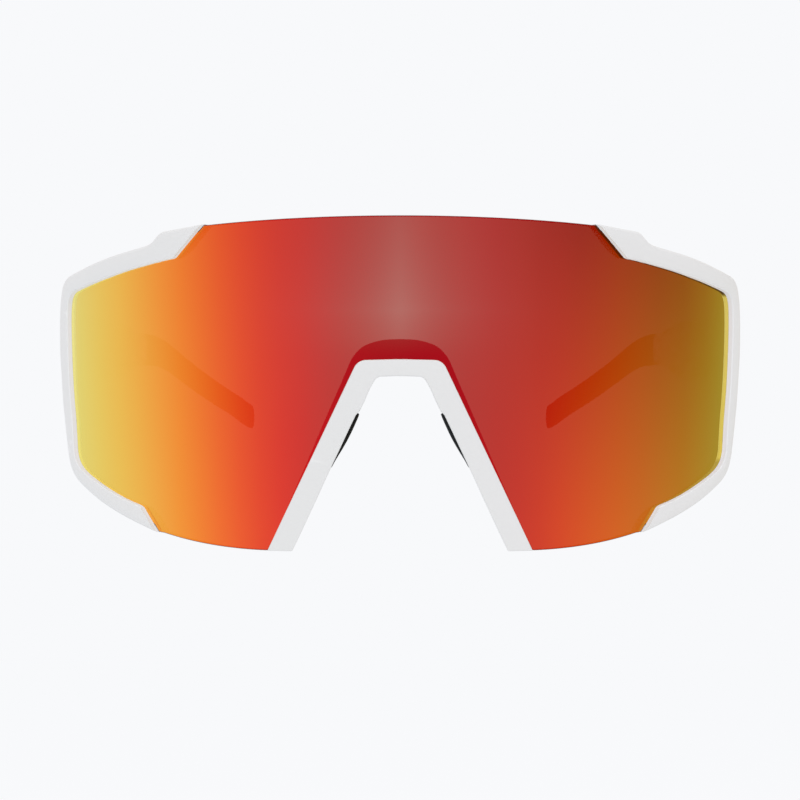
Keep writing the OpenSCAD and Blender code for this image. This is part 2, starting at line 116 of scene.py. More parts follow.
def smoothstep(start, end, x):
    t = np.clip((np.asarray(x, float) - start) / (end - start), 0, 1)
    return t * t * (3 - 2 * t)


def turn_angles(count):
    return np.arange(count) * 2 * math.pi / count


def catmull(table, s):
    """Catmull-Rom through the rows of a table, at s rows down"""
    last = len(table) - 1
    i = int(min(max(math.floor(s), 0), last - 1))
    t = s - i
    before, here, ahead, beyond = (table[max(i - 1, 0)], table[i], table[i + 1],
                                   table[min(i + 2, last)])
    return 0.5 * (2 * here + (ahead - before) * t
                  + (2 * before - 5 * here + 4 * ahead - beyond) * t ** 2
                  + (3 * here - before - 3 * ahead + beyond) * t ** 3)


def rounded(points, radii, steps):
    """closed outline with its corners rounded; the same count for any shape"""
    points = np.asarray(points, float)
    out = []
    for i, corner in enumerate(points):
        before, after = points[i - 1], points[(i + 1) % len(points)]
        len_in, len_out = np.linalg.norm(before - corner), np.linalg.norm(after - corner)
        if len_in < 1e-9 or len_out < 1e-9:
            out += [corner] * (steps + 1)
            continue
        dir_in, dir_out = (before - corner) / len_in, (after - corner) / len_out
        angle = math.acos(max(-1, min(1, float(dir_in @ dir_out))))
        reach = min(radii[i] / max(math.tan(angle / 2), 1e-3), 0.46 * len_in, 0.46 * len_out)
        start, end = corner + dir_in * reach, corner + dir_out * reach
        for j in range(steps + 1):
            t = j / steps
            out.append((1 - t) ** 2 * start + 2 * t * (1 - t) * corner + t * t * end)
    return np.array(out)


def outward(ring):
    """unit normals of a closed 2-D ring, pointing out of it"""
    tangent = np.roll(ring, -1, 0) - np.roll(ring, 1, 0)
    area = 0.5 * np.sum(ring[:, 0] * np.roll(ring[:, 1], -1)
                        - np.roll(ring[:, 0], -1) * ring[:, 1])
    normal = np.stack([tangent[:, 1], -tangent[:, 0]], 1) * (1 if area > 0 else -1)
    return normal / np.maximum(np.linalg.norm(normal, axis=1, keepdims=True), 1e-9)


def inset(ring, distance):
    """moves a closed 2-D ring inwards along its own normals"""
    return ring - outward(ring) * distance if distance > 0 else ring


def lengths(path):
    """distance along a path at each of its points"""
    return np.r_[0, np.cumsum(np.linalg.norm(np.diff(path, axis=0), axis=1))]


def path_at(path, distances):
    run = lengths(path)
    return np.column_stack([np.interp(distances, run, path[:, 0]),
                            np.interp(distances, run, path[:, 1])])


def end_round(radius, count=5):
    """(way along, inset) steps that round over the end of a loft"""
    return [(radius * (1 - math.cos(a)), radius * (1 - math.sin(a)))
            for a in np.linspace(0, math.pi / 2, count)]


def round_ended(lines, radius):
    """(points, inset, at an end) along matching lines, with both ends rounded over"""
    last = len(lines[0]) - 1
    for k in range(last + 1):
        points = [line[k] for line in lines]
        if 0 < k < last:
            yield points, 0, False
            continue
        ahead = [line[1 if k == 0 else last - 1] for line in lines]
        step = np.linalg.norm(ahead[0] - points[0])
        for way, depth in end_round(radius)[::1 if k == 0 else -1]:
            moved = [p + (q - p) * way / step for p, q in zip(points, ahead)]
            yield moved, depth, True


# ---- meshes and objects ----------------------------------------------------

def mesh_from(verts, faces, at=(0, 0, 0), axes=np.eye(3)):
    """welded mesh with outward normals; axes holds the local axes as rows"""
    verts = (np.asarray(verts) @ axes + at) * 0.001
    mesh = bpy.data.meshes.new("m")
    mesh.from_pydata([tuple(v) for v in verts], [], [tuple(int(i) for i in f) for f in faces])
    bm = bmesh.new()
    bm.from_mesh(mesh)
    bmesh.ops.remove_doubles(bm, verts=bm.verts, dist=1e-7)
    bmesh.ops.recalc_face_normals(bm, faces=bm.faces)
    bm.to_mesh(mesh)
    bm.free()
    return mesh


def loft(rings, at=(0, 0, 0), axes=np.eye(3)):
    """capped skin over rings of equal count"""
    count = len(rings[0])
    faces = []
    for i in range(len(rings) - 1):
        for j in range(count):
            a, b = i * count + j, i * count + (j + 1) % count
            faces.append((a, b, b + count, a + count))
    faces.append(tuple(range(count))[::-1])
    faces.append(tuple(range((len(rings) - 1) * count, len(rings) * count)))
    return mesh_from(np.concatenate(rings), faces, at, axes)


def turned(profile, at=(0, 0, 0), axes=np.eye(3), count=48):
    """(radius, z) profile turned about a local z"""
    a = turn_angles(count)
    return loft([np.stack([r * np.cos(a), r * np.sin(a), 0 * a + z], 1)
                 for r, z in profile], at, axes)


def cylinder(radius, low, high, at=(0, 0, 0), axes=np.eye(3), count=48, chamfer=0.0):
    profile = [(radius, low + chamfer), (radius, high - chamfer)]
    if chamfer:
        profile = [(radius - chamfer, low), *profile, (radius - chamfer, high)]
    return turned(profile, at, axes, count)


def box_mesh(low, high, at=(0, 0, 0), axes=np.eye(3)):
    verts = [[float((low, high)[i >> k & 1][k]) for k in range(3)] for i in range(8)]
    faces = [(0, 2, 3, 1), (4, 5, 7, 6), (0, 1, 5, 4), (2, 6, 7, 3),
             (0, 4, 6, 2), (1, 3, 7, 5)]
    return mesh_from(verts, faces, at, axes)


def add_object(mesh, name):
    obj = bpy.data.objects.new(name, mesh)
    bpy.context.scene.collection.objects.link(obj)
    return obj


def evaluated(obj):
    """obj with its modifiers applied, as a new mesh; obj is removed"""
    graph = bpy.context.evaluated_depsgraph_get()
    mesh = bpy.data.meshes.new_from_object(obj.evaluated_get(graph))
    bpy.data.objects.remove(obj)
    return mesh


def boolean(base, others, mode):
    obj = add_object(base, "bool_base")
    tools = [add_object(mesh, "bool_tool") for mesh in others]
    for tool in tools:
        modifier = obj.modifiers.new("bool", "BOOLEAN")
        modifier.operation = mode
        modifier.solver = "EXACT"
        modifier.object = tool
    mesh = evaluated(obj)
    for tool in tools:
        bpy.data.objects.remove(tool)
    return mesh


def mirrored(mesh):
    """copy of a mesh on the other side of x = 0"""
    mesh = mesh.copy()
    bm = bmesh.new()
    bm.from_mesh(mesh)
    for v in bm.verts:
        v.co.x = -v.co.x
    bmesh.ops.reverse_faces(bm, faces=bm.faces)
    bm.to_mesh(mesh)
    bm.free()
    return mesh


def place(mesh, name, materials, body, node):
    mesh.name = name
    for material in materials:
        mesh.materials.append(material)
    obj = add_object(mesh, name)
    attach(obj, body)
    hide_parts(node)
    return obj


def piece(mesh, name, materials, body, node, sharp):
    """smooth-shaded part with edges over `sharp` degrees kept sharp; 0 keeps none"""
    mesh.polygons.foreach_set("use_smooth", [True] * len(mesh.polygons))
    if sharp:
        mesh.set_sharp_from_angle(angle=math.radians(sharp))
    mesh.materials.clear()
    mesh.update()
    return place(mesh, name, materials, body, node)


def right_and_left(mesh, name, material, body, node, sharp):
    """a left part and its mirror image, the right one first"""
    for side, half in (("right", mirrored(mesh)), ("left", mesh)):
        piece(half, name + side, [material], body + side, node + side, sharp)


# ---- shader nodes ----------------------------------------------------------

class Shader:
    """builds the node tree of a material or a world"""

    def __init__(self, owner, output="OutputMaterial"):
        owner.use_nodes = True
        self.owner = owner
        self.tree = owner.node_tree
        self.tree.nodes.clear()
        self.out = self.node(output)
        self.coords = self.node("TexCoord")

    def feed(self, socket, value):
        """links a node or socket, or sets a plain value"""
        if isinstance(value, bpy.types.Node):
            value = value.outputs[0]
        if isinstance(value, bpy.types.NodeSocket):
            self.tree.links.new(value, socket)
        elif socket.type == "RGBA":
            socket.default_value = (*value, 1)
        else:
            socket.default_value = value

    def node(self, kind, inputs=None, **settings):
        node = self.tree.nodes.new("ShaderNode" + kind)
        for key, value in settings.items():
            setattr(node, key, value)
        for key, value in (inputs or {}).items():
            self.feed(node.inputs[key], value)
        return node

    def math(self, operation, *values):
        return self.node("Math", dict(enumerate(values)), operation=operation).outputs[0]

    def vector(self, operation, *values):
        return self.node("VectorMath", dict(enumerate(values)), operation=operation).outputs

    def split(self, vector):
        return self.node("SeparateXYZ", {0: vector}).outputs

    def noise(self, scale, detail, rough, vector=None):
        return self.node("TexNoise", {
            "Scale": scale, "Detail": detail, "Roughness": rough,
            "Vector": vector or self.coords.outputs["Object"]}).outputs["Fac"]

    def ramp(self, fac, stops):
        """stops are (position, colour)"""
        node = self.node("ValToRGB", {0: fac})
        elements = node.color_ramp.elements
        while len(elements) > 1:
            elements.remove(elements[-1])
        elements[0].position = stops[0][0]
        elements[0].color = (*stops[0][1], 1)
        for position, colour in stops[1:]:
            elements.new(position).color = (*colour, 1)
        return node.outputs["Color"]

    def mix(self, fac, a, b, blend="MIX"):
        return self.node("Mix", {0: fac, 6: a, 7: b}, data_type="RGBA",
                         blend_type=blend).outputs[2]

    def remap(self, x, span, to=(0.0, 1.0), smooth=False):
        settings = {"interpolation_type": "SMOOTHSTEP"} if smooth else {}
        return self.node("MapRange", {
            "Value": x, "From Min": span[0], "From Max": span[1],
            "To Min": to[0], "To Max": to[1]}, **settings).outputs["Result"]

    def bump(self, height, strength, distance, normal=None):
        inputs = {"Strength": strength, "Distance": distance, "Height": height}
        if normal:
            inputs["Normal"] = normal
        return self.node("Bump", inputs).outputs["Normal"]

    def finish(self, surface):
        self.feed(self.out.inputs["Surface"], surface)
        return self.owner


def new_material(name):
    return Shader(bpy.data.materials.new(name))


def scaled(colour, factor):
    return tuple(c * factor for c in colour)


# ---- plastics, rubbers and metals ------------------------------------------
BLACKOUT = (0.0, 0.0, 0.0)
GLOW = (0.15, 0.17, 0.22)            # painted glow of the lip's wall, seen directly
PAINTED_MIRROR_GLOW = (0.45, 0.60, 0.75)     # painted glow as seen in the mirror, wearer's right
PAINTED_GLOW_LEFT = (0.62, 0.50, 0.12)       # factors on that for the wearer's left
WALL_SHADE = (0.10, 0.03, 0.02)      # painted shade: wall colour where its mirror image is dark


def add_painted_wall_glow(net, plastic, geometry, colour):
    """painted glow in the corner against the lens: emission makes the wall as bright as
    its face and brighter still in the mirror below it, with painted shade where that is dark"""
    x, y, _ = net.split(net.coords.outputs["Object"])
    from_axis = net.node("CombineXYZ", {0: x, 1: net.math("SUBTRACT", y, AXIS_Y * 0.001)})
    radial = net.vector("NORMALIZE", from_axis)[0]
    facing = net.vector("DOT_PRODUCT", radial, geometry.outputs["Incoming"])["Value"]
    in_mirror = net.remap(facing, span=(-0.15, -0.40), smooth=True)
    normal_z = net.split(geometry.outputs["Normal"])[2]
    left = net.remap(x, span=(-0.02, 0.02), smooth=True)
    # painted shade: walls that face down are painted dark in the mirror; those that face up,
    # partly
    outer_end = net.remap(x, span=(0.055, 0.065), smooth=True)
    brow = net.math("MULTIPLY_ADD", outer_end, 0.35, normal_z)
    brow = net.remap(brow, span=(-0.30, -0.60), smooth=True)
    foot = net.remap(normal_z, span=(0.50, 0.75), smooth=True)
    dark = net.math("MULTIPLY", left,
                    net.math("MAXIMUM", brow, net.math("MULTIPLY", foot, 0.4)))
    lit = net.mix(left, PAINTED_MIRROR_GLOW, tuple(c * k for c, k in zip(PAINTED_MIRROR_GLOW, PAINTED_GLOW_LEFT)))
    lit = net.mix(dark, lit, BLACKOUT)
    height = net.math("SUBTRACT", net.vector("LENGTH", from_axis)["Value"], LENS_R * 0.001)
    deep = net.remap(height, span=(0.0003, 0.0011), to=(1.0, 0.55), smooth=True)
    front = net.remap(height, span=(-0.00003, 0.0))
    shade = net.mix(net.math("MULTIPLY", in_mirror, dark), colour, WALL_SHADE)
    for key, value in (("Emission Color", net.mix(in_mirror, GLOW, lit)),
                       ("Emission Strength", net.math("MULTIPLY", deep, front)),
                       ("Base Color", shade)):
        net.feed(plastic.inputs[key], value)


def moulded(name, colour, rough, grain, depth, mottle, shine=0.5, wear=0.0,
            translucent=0.0, glow=False):
    """injection-moulded plastic: fine spark-eroded grain, slow unevenness of
    colour and gloss, and edges rubbed a little smoother"""
    net = new_material(name)
    slow = net.noise(scale=70, detail=3, rough=0.55)
    fine = net.noise(scale=grain, detail=4, rough=0.6)
    mid = net.noise(scale=grain * 0.17, detail=2, rough=0.5)
    base = net.mix(slow, scaled(colour, 1 - mottle), scaled(colour, 1 + mottle))
    geometry = net.node("NewGeometry")
    edge = net.remap(geometry.outputs["Pointiness"], span=(0.52, 0.60), smooth=True)
    edge = net.math("MULTIPLY", edge, net.remap(mid, span=(0.35, 0.65), to=(0.4, 1.0)))
    if wear:
        rubbed = tuple(c * 1.15 + 0.015 for c in colour)
        base = net.mix(net.math("MULTIPLY", edge, wear), base, rubbed)
    uneven = net.math("ADD", net.math("MULTIPLY", slow, 0.6), net.math("MULTIPLY", mid, 0.4))
    gloss = net.remap(uneven, span=(0.3, 0.7), to=(rough - 0.05, rough + 0.05))
    gloss = net.math("SUBTRACT", gloss, net.math("MULTIPLY", edge, 0.08))
    normal = net.bump(fine, strength=0.5, distance=depth)
    normal = net.bump(mid, strength=0.35, distance=depth * 2.5, normal=normal)
    inputs = {"Base Color": base, "Roughness": gloss, "Specular IOR Level": shine,
              "Normal": normal}
    if translucent:
        inputs |= {"Subsurface Weight": translucent, "Subsurface Scale": 0.6,
                   "Subsurface Radius": (0.001, 0.001, 0.001)}
    plastic = net.node("BsdfPrincipled", inputs)
    # the lip's wall gets a painted glow and painted shade
    if glow:
        add_painted_wall_glow(net, plastic, geometry, base)
    return net.finish(plastic)


def rubber(name, colour, rough, shine, dusty):
    """soft-touch rubber: velvety grazing light, fine pores, faint dust"""
    net = new_material(name)
    pores = net.noise(scale=5200, detail=4, rough=0.65)
    slow = net.noise(scale=110, detail=3, rough=0.55)
    dust = net.remap(net.noise(scale=900, detail=5, rough=0.7),
                     span=(0.56, 0.78), to=(0.0, dusty))
    base = net.mix(slow, scaled(colour, 0.85), scaled(colour, 1.25))
    return net.finish(net.node("BsdfPrincipled", {
        "Base Color": net.mix(dust, base, (0.06, 0.06, 0.06)),
        "Roughness": net.remap(slow, span=(0.3, 0.7), to=(rough - 0.06, rough + 0.07)),
        "Specular IOR Level": shine,
        "Sheen Weight": dusty * 0.4,
        "Sheen Roughness": 0.45,
        "Normal": net.bump(pores, strength=0.6, distance=0.00002)}))


def metal(name, colour, rough, streak=(1.0, 1.0, 1.0)):
    """machined metal: fine tool marks, smudges, brighter worn edges"""
    net = new_material(name)
    mapping = net.node("Mapping", {"Scale": streak, "Vector": net.coords.outputs["Object"]})
    marks = net.noise(scale=9000, detail=3, rough=0.6, vector=mapping.outputs[0])
    smudge = net.noise(scale=600, detail=3, rough=0.6)
    geometry = net.node("NewGeometry")
    worn = net.remap(geometry.outputs["Pointiness"], span=(0.5, 0.6), to=(0.0, 0.25),
                     smooth=True)
    base = net.mix(smudge, scaled(colour, 0.86), colour)
    uneven = net.math("ADD", net.math("MULTIPLY", smudge, 0.5),
                      net.math("MULTIPLY", marks, 0.5))
    return net.finish(net.node("BsdfPrincipled", {
        "Base Color": net.mix(worn, base, scaled(colour, 1.3)),
        "Metallic": 1.0,
        "Roughness": net.remap(uneven, span=(0.3, 0.7), to=(rough - 0.07, rough + 0.09)),
        "Normal": net.bump(marks, strength=0.35, distance=0.000006)}))


WHITE_LOOK = dict(colour=(0.772, 0.770, 0.772), rough=0.44, grain=4200, depth=0.000012,
                  shine=0.30, wear=0.35, mottle=0.006)
WHITE = moulded("white_moulded", **WHITE_LOOK)
# the same white with a painted glow and painted shade on the lip's wall
WALL_WHITE = moulded("white_moulded_wall", **WHITE_LOOK, glow=True)
BLACK = moulded("black_moulded", colour=(0.013, 0.013, 0.0142), rough=0.50, grain=3600,
                depth=0.000022, shine=0.45, wear=0.5, mottle=0.12)
NYLON = moulded("nylon", colour=(0.72, 0.70, 0.62), rough=0.45, grain=5000,
                depth=0.00001, translucent=0.15, mottle=0.03)
RUBBER = rubber("soft_rubber", colour=(0.009, 0.009, 0.0098), rough=0.62, shine=0.28,
                dusty=0.10)
PAD_RUBBER = rubber("pad_rubber", colour=(0.0045, 0.0045, 0.005), rough=0.56, shine=0.12,
                    dusty=0.03)
STEEL = metal("screw_steel", colour=(0.60, 0.60, 0.62), rough=0.28)
STRIP = metal("strip_steel", colour=(0.46, 0.46, 0.48), rough=0.36, streak=(1.0, 0.08, 1.0))
BRASS = metal("brass", colour=(0.72, 0.52, 0.24), rough=0.30)

# ---- lens materials --------------------------------------------------------
# Reflection of the mirror coating by angle: stops at 1 - cos(angle).
COAT = [(0.0, (0.365, 0.002, 0.0105)), (0.026, (0.489, 0.005, 0.0115)),
        (0.041, (0.550, 0.0055, 0.009)), (0.060, (0.601, 0.0105, 0.008)),
        (0.083, (0.658, 0.0245, 0.0080)), (0.110, (0.716, 0.049, 0.0090)),
        (0.141, (0.763, 0.087, 0.0104)), (0.177, (0.802, 0.140, 0.014)),
        (0.218, (0.833, 0.204, 0.0205)), (0.267, (0.840, 0.283, 0.035)),
        (0.322, (0.827, 0.370, 0.052)), (0.388, (0.813, 0.463, 0.075)),
        (0.468, (0.792, 0.540, 0.105)), (0.568, (0.775, 0.622, 0.155)),
        (0.76, (0.80, 0.74, 0.42)), (1.0, (0.98, 0.98, 0.98))]
COAT_UNEVEN = (0.74, 0.30, 0.05)
# What the coated lens lets through, and a painted highlight: more let through at its middle.
CLEAR = (0.053, 0.034, 0.023)
PAINTED_HIGHLIGHT = (0.039, 0.096, 0.085)
PAINTED_COAT_HIGHLIGHT = (0.005, 0.020, 0.014)        # painted highlight added to the coat's reflection
BASE_TINT = (0.50, 0.45, 0.42)
# What gets through by angle, stops as in COAT.
DIM = [(x, (k, k, k)) for x, k in (
    (0.0, 1.0), (0.060, 1.0), (0.109, 0.85), (0.217, 0.55), (0.388, 0.25),
    (0.568, 0.06), (1.0, 0.0))]
# Painted highlight behind the brow, in metres: soft middle, and fading distances.
PAINTED_HIGHLIGHT_CORE, PAINTED_HIGHLIGHT_SIDE, PAINTED_HIGHLIGHT_UP, PAINTED_HIGHLIGHT_DOWN = 0.0012, 0.0094, 0.025, 0.016
PAINTED_HIGHLIGHT_Z = (EYE + 17.6) * 0.001


def mirror_coat():
    """outer face: a glossy coating over what shows through the lens, with a painted highlight at
    the middle of the brow
    """
    net = new_material("mirror_coat")
    geometry = net.node("NewGeometry")
    facing = net.node("LayerWeight", {"Blend": 0.5}).outputs["Facing"]
    coat = net.ramp(facing, COAT)
    # coating thickness is never quite even
    uneven = net.noise(scale=26, detail=2, rough=0.5)
    coat = net.mix(net.remap(uneven, span=(0.3, 0.7), to=(0.0, 0.02)), coat, COAT_UNEVEN)
    x, _, z = net.split(net.coords.outputs["Object"])
    # painted highlight: a soft glow behind the middle of the brow, fading sideways, up and down
    aside = net.math("SQRT", net.math("MULTIPLY_ADD", x, x, PAINTED_HIGHLIGHT_CORE ** 2))
    aside = net.math("MULTIPLY", net.math("SUBTRACT", aside, PAINTED_HIGHLIGHT_CORE), 1 / PAINTED_HIGHLIGHT_SIDE)
    rise = net.math("SUBTRACT", z, PAINTED_HIGHLIGHT_Z)
    rise = net.math("MAXIMUM", net.math("MULTIPLY", rise, 1 / PAINTED_HIGHLIGHT_UP),
                    net.math("MULTIPLY", rise, -1 / PAINTED_HIGHLIGHT_DOWN))
    highlight = net.math("ADD", aside, rise)
    highlight = net.math("EXPONENT", net.math("MULTIPLY", highlight, -1.0))
    over_eye = net.remap(z, span=((EYE + 7.8) * 0.001, (EYE + 13) * 0.001), smooth=True)
    # above the eye line the painted highlight is also added to the coat's reflection
    coat_highlight = net.mix(net.math("MULTIPLY", highlight, over_eye), BLACKOUT, PAINTED_COAT_HIGHLIGHT)
    coat = net.mix(1.0, coat, coat_highlight, "ADD")
    rough = net.remap(net.noise(scale=420, detail=4, rough=0.6),
                      span=(0.35, 0.75), to=(0.022, 0.05))
    gloss = net.node("BsdfGlossy", {"Color": coat, "Roughness": rough})
    # what shows through, lighter at the middle by the painted highlight
    through = net.mix(highlight, tuple(c / b for c, b in zip(CLEAR, BASE_TINT)),
                      tuple((c + h) / b for c, h, b in zip(CLEAR, PAINTED_HIGHLIGHT, BASE_TINT)))
    # the longer way through the tinted plastic lets less of it out
    through = net.mix(1.0, through, net.ramp(facing, DIM), "MULTIPLY")
    clear = net.node("BsdfTransparent", {"Color": through})
    outside = net.node("AddShader", {0: gloss, 1: clear})
    # from inside, the coating mirrors much less
    faint = net.node("BsdfGlossy", {"Color": net.mix(0.86, coat, BLACKOUT),
                                    "Roughness": 0.03})
    inside = net.node("AddShader", {0: faint, 1: clear})
    return net.finish(net.node("MixShader", {
        0: geometry.outputs["Backfacing"], 1: outside, 2: inside}))


def lens_inside():
    """inner face: smoke-tinted polycarbonate with a thin hard coat"""
    net = new_material("lens_inside")
    geometry = net.node("NewGeometry")
    rough = net.remap(net.noise(scale=380, detail=4, rough=0.6),
                      span=(0.35, 0.75), to=(0.02, 0.055))
    reflects = net.math("MULTIPLY", net.node("Fresnel", {"IOR": 1.586}),
                        net.math("SUBTRACT", 1.0, geometry.outputs["Backfacing"]))
    return net.finish(net.node("MixShader", {
        0: reflects,
        1: net.node("BsdfTransparent", {"Color": BASE_TINT}),
        2: net.node("BsdfGlossy", {"Color": (0.95, 0.97, 1.0), "Roughness": rough})}))


def lens_edge():
    """cut edge: light carried inside the plastic, tinted by the coating"""
    net = new_material("lens_edge")
    base = net.mix(net.noise(scale=500, detail=3, rough=0.6),
                   (0.16, 0.022, 0.016), (0.24, 0.040, 0.022))
    rough = net.remap(net.noise(scale=3000, detail=3, rough=0.6),
                      span=(0.3, 0.7), to=(0.14, 0.26))
    normal = net.bump(net.noise(scale=2400, detail=3, rough=0.6),
                      strength=0.2, distance=0.00001)
    return net.finish(net.node("BsdfPrincipled", {
        "Base Color": base, "Roughness": rough, "Coat Weight": 0.3, "Normal": normal}))


LENS_MATERIALS = [mirror_coat(), lens_inside(), lens_edge()]

# ---- side frames -----------------------------------------------------------
# Outer edge u, v; inner edge of the front lip u, v; reach of the rear lip.
RIM = np.array([
    [40.92, 35.11, 47.86, 28.63, 9.3], [43.53, 34.8, 48.63, 28.4, 7.9],
    [46.53, 34.44, 49.47, 28.32, 6.5], [49.23, 34.16, 50.57, 28.17, 5.7],
    [51, 33.93, 51.57, 28.02, 5.4], [52.12, 33.35, 52.37, 27.87, 5],
    [53.25, 32.37, 53.38, 27.74, 4.2], [54.16, 31.79, 54.37, 27.58, 3.8],
    [55.47, 31.34, 55.57, 27.38, 3.6], [58.04, 30.87, 57.97, 26.99, 3.6],
    [62.54, 30.18, 62.27, 26.27, 3.6], [67.56, 29.35, 66.96, 25.39, 3.6],
    [72.56, 28.41, 71.76, 24.53, 3.5], [77.57, 27.38, 76.46, 23.66, 3.4],
    [81.61, 26.59, 80.15, 22.99, 3.4], [84.51, 25.93, 82.14, 22.48, 3.4],
    [86.6, 24.57, 83.44, 21.55, 3.3], [87.77, 22.3, 84.07, 20.18, 3.2],
    [88.44, 19.54, 84.33, 18.29, 3.1], [88.7, 15.21, 84.33, 14.81, 3.1],
    [88.5, 9.92, 83.98, 9.82, 3.1], [87.69, 4.89, 83.46, 4.92, 3.1],
    [86.86, 0.03, 82.71, 0.32, 3.1], [85.67, -4.61, 81.82, -4.09, 3],
    [84.48, -8.84, 81.24, -8.19, 2.9], [83.43, -12.16, 80.86, -10.79, 2.9],
    [81.78, -14.87, 79.86, -12.67, 2.9], [79.08, -16.94, 77.95, -14.22, 3],
    [75.7, -18.54, 75.14, -15.56, 3.1], [71.66, -20.28, 71.54, -16.93, 3.2],
    [67.14, -22.03, 67.35, -18.45, 3.3], [62.63, -23.59, 63.15, -19.84, 3.4],
    [58.72, -24.83, 59.84, -20.8, 3.8], [55.71, -25.76, 58.11, -21.24, 4.8],
    [53.91, -26.3, 57.22, -21.52, 5.5], [52.45, -26.73, 56.64, -21.82, 6.2]])
RIM_WALL = 1.7                   # outer edge of the rim to the lens slot
RIM_BACK = 3.2                   # reach of the rim behind the lens surface
SLOT = LENS_T + 0.05
RIM_ROUND = 0.08
# Endpiece past the lens: outer x, depth; inner x, depth; top and bottom over the
# eye line. Depths are from the front of the lens.
ENDPIECE = np.array([
    [71.85, 44.4, 67.2, 46.0, 22.0, 1.7], [72.2, 45.9, 67.3, 47.0, 21.2, 2.3],
    [72.55, 48.2, 67.6, 48.9, 19.9, 3.2], [72.76, 51.0, 67.85, 51.3, 19.0, 3.85],
    [HINGE_X + KNUCKLE_R, HINGE_Y - LENS_Y, HINGE_X - KNUCKLE_R, HINGE_Y - LENS_Y,
     EAR_TOP - EYE, EAR_LOW - EYE]])


def across_rim(row):
    """outer edge point, lip width and unit direction towards the inner edge"""
    outer, inner = row[:2], row[2:4]
    return outer, (inner - outer) / np.linalg.norm(inner - outer)


def rim_profile(row):
    """section across the rim: distance in from its outer edge, w"""
    lip = math.hypot(row[2] - row[0], row[3] - row[1])
    rear = row[4]
    corners = [(lip, 0.004), (lip, LIP_FRONT - 0.08), (RIM_WALL + 0.2, LIP_FRONT + 0.05),
               (0.45, LIP_FRONT - 0.02), (0.0, LIP_FRONT - 0.55), (0.0, -RIM_BACK),
               (max(rear - 2.1, 0.9), -RIM_BACK), (rear, -SLOT - 0.45), (rear, -SLOT),
               (RIM_WALL, -SLOT), (RIM_WALL, 0.004)]
    radii = [0.01, 0.42, 2.0, 0.7, 0.7, 0.55, 0.7, 0.22, 0.12, 0.12, 0.12]
    return rounded(corners, radii, 5)


def rim_ring(s, depth):
    row = catmull(RIM, s)
    outer, way = across_rim(row)
    profile = inset(rim_profile(row), depth)
    uv = outer + profile[:, :1] * way
    return lens_point(uv[:, 0], uv[:, 1], profile[:, 1])


def rim_mesh():
    last = len(RIM) - 1
    first_step = np.linalg.norm(RIM[1][:2] - RIM[0][:2])
    last_step = np.linalg.norm(RIM[-1][:2] - RIM[-2][:2])
    ends = end_round(RIM_ROUND)
    run = [(x / first_step, depth) for x, depth in ends]
    run += [(s, 0) for s in np.arange(1 / 6, last - 1 / 12, 1 / 6)]
    run += [(last - x / last_step, depth) for x, depth in reversed(ends)]
    return loft([rim_ring(s, depth) for s, depth in run])


def endpiece_ring(outer, inner, top, low, radius):
    """upright rounded rectangle between two plan points"""
    width = np.linalg.norm(outer - inner)
    section = rounded([(0, low), (width, low), (width, top), (0, top)],
                      [radius * 0.8, radius, radius, radius * 0.8], 5)
    way = (outer - inner) / width
    return np.column_stack([inner[0] + section[:, 0] * way[0],
                            inner[1] + section[:, 0] * way[1], EYE + section[:, 1]])


def endpiece_mesh():
    """arm of the frame that carries the ears, swept back from the rim"""
    def plan(u, w):
        return lens_point(u, 0, w)[:2]
    at_rim = [[*plan(87.6, 0.25), *plan(86.9, -2.75), 22.7, 1.2],
              [*plan(88.05, 0.1), *plan(87.3, -3.1), 22.5, 1.35]]
    table = np.vstack([at_rim, ENDPIECE + [0, LENS_Y, 0, LENS_Y, 0, 0]])
    last = len(table) - 1
    rings = []
    for s in np.linspace(0, last, last * 6 + 1):
        row = catmull(table, s)
        radius = (0.45 + 0.9 * float(smoothstep(0.5, 3.0, s))
                  - 0.8 * float(smoothstep(4.2, 6.0, s)))
        rings.append(endpiece_ring(row[0:2], row[2:4], row[4], row[5], radius))
    # half round about the hinge axis
    knuckle = [(math.cos(a) * KNUCKLE_R, math.sin(a) * KNUCKLE_R, 0.55)
               for a in np.linspace(0, math.pi / 2, 13)[1:-1]]
    for x, y, radius in [*knuckle, (0.18, KNUCKLE_R, 0.15)]:
        rings.append(endpiece_ring(np.array([HINGE_X + x, HINGE_Y + y]),
                                   np.array([HINGE_X - x, HINGE_Y + y]),
                                   EAR_TOP - EYE, EAR_LOW - EYE, radius))
    return loft(rings)


def side_frame_mesh():
    gap = TONGUE_H / 2 + 0.40
    cuts = [box_mesh((HINGE_X - 6, HINGE_Y - 2.8, HINGE_Z - gap),
                     (HINGE_X + 6, HINGE_Y + 6.2, HINGE_Z + gap))]
    # screw hole, screw head and the wider bore from below
    for radius, low, high in ((0.85, EAR_LOW - 2, EAR_TOP + 2),
                              (1.55, EAR_TOP - 1.2, EAR_TOP + 2),
                              (1.3, EAR_LOW - 2, EAR_LOW + 5.0)):
        cuts.append(cylinder(radius, low, high, (HINGE_X, HINGE_Y, 0)))
    end = boolean(endpiece_mesh(), cuts, "DIFFERENCE")
    return boolean(rim_mesh(), [end], "UNION")


def distance_to_segment(point, start, end):
    along = end - start
    t = np.clip(np.dot(point - start, along) / np.dot(along, along), 0, 1)
    return float(np.linalg.norm(start + along * t - point))


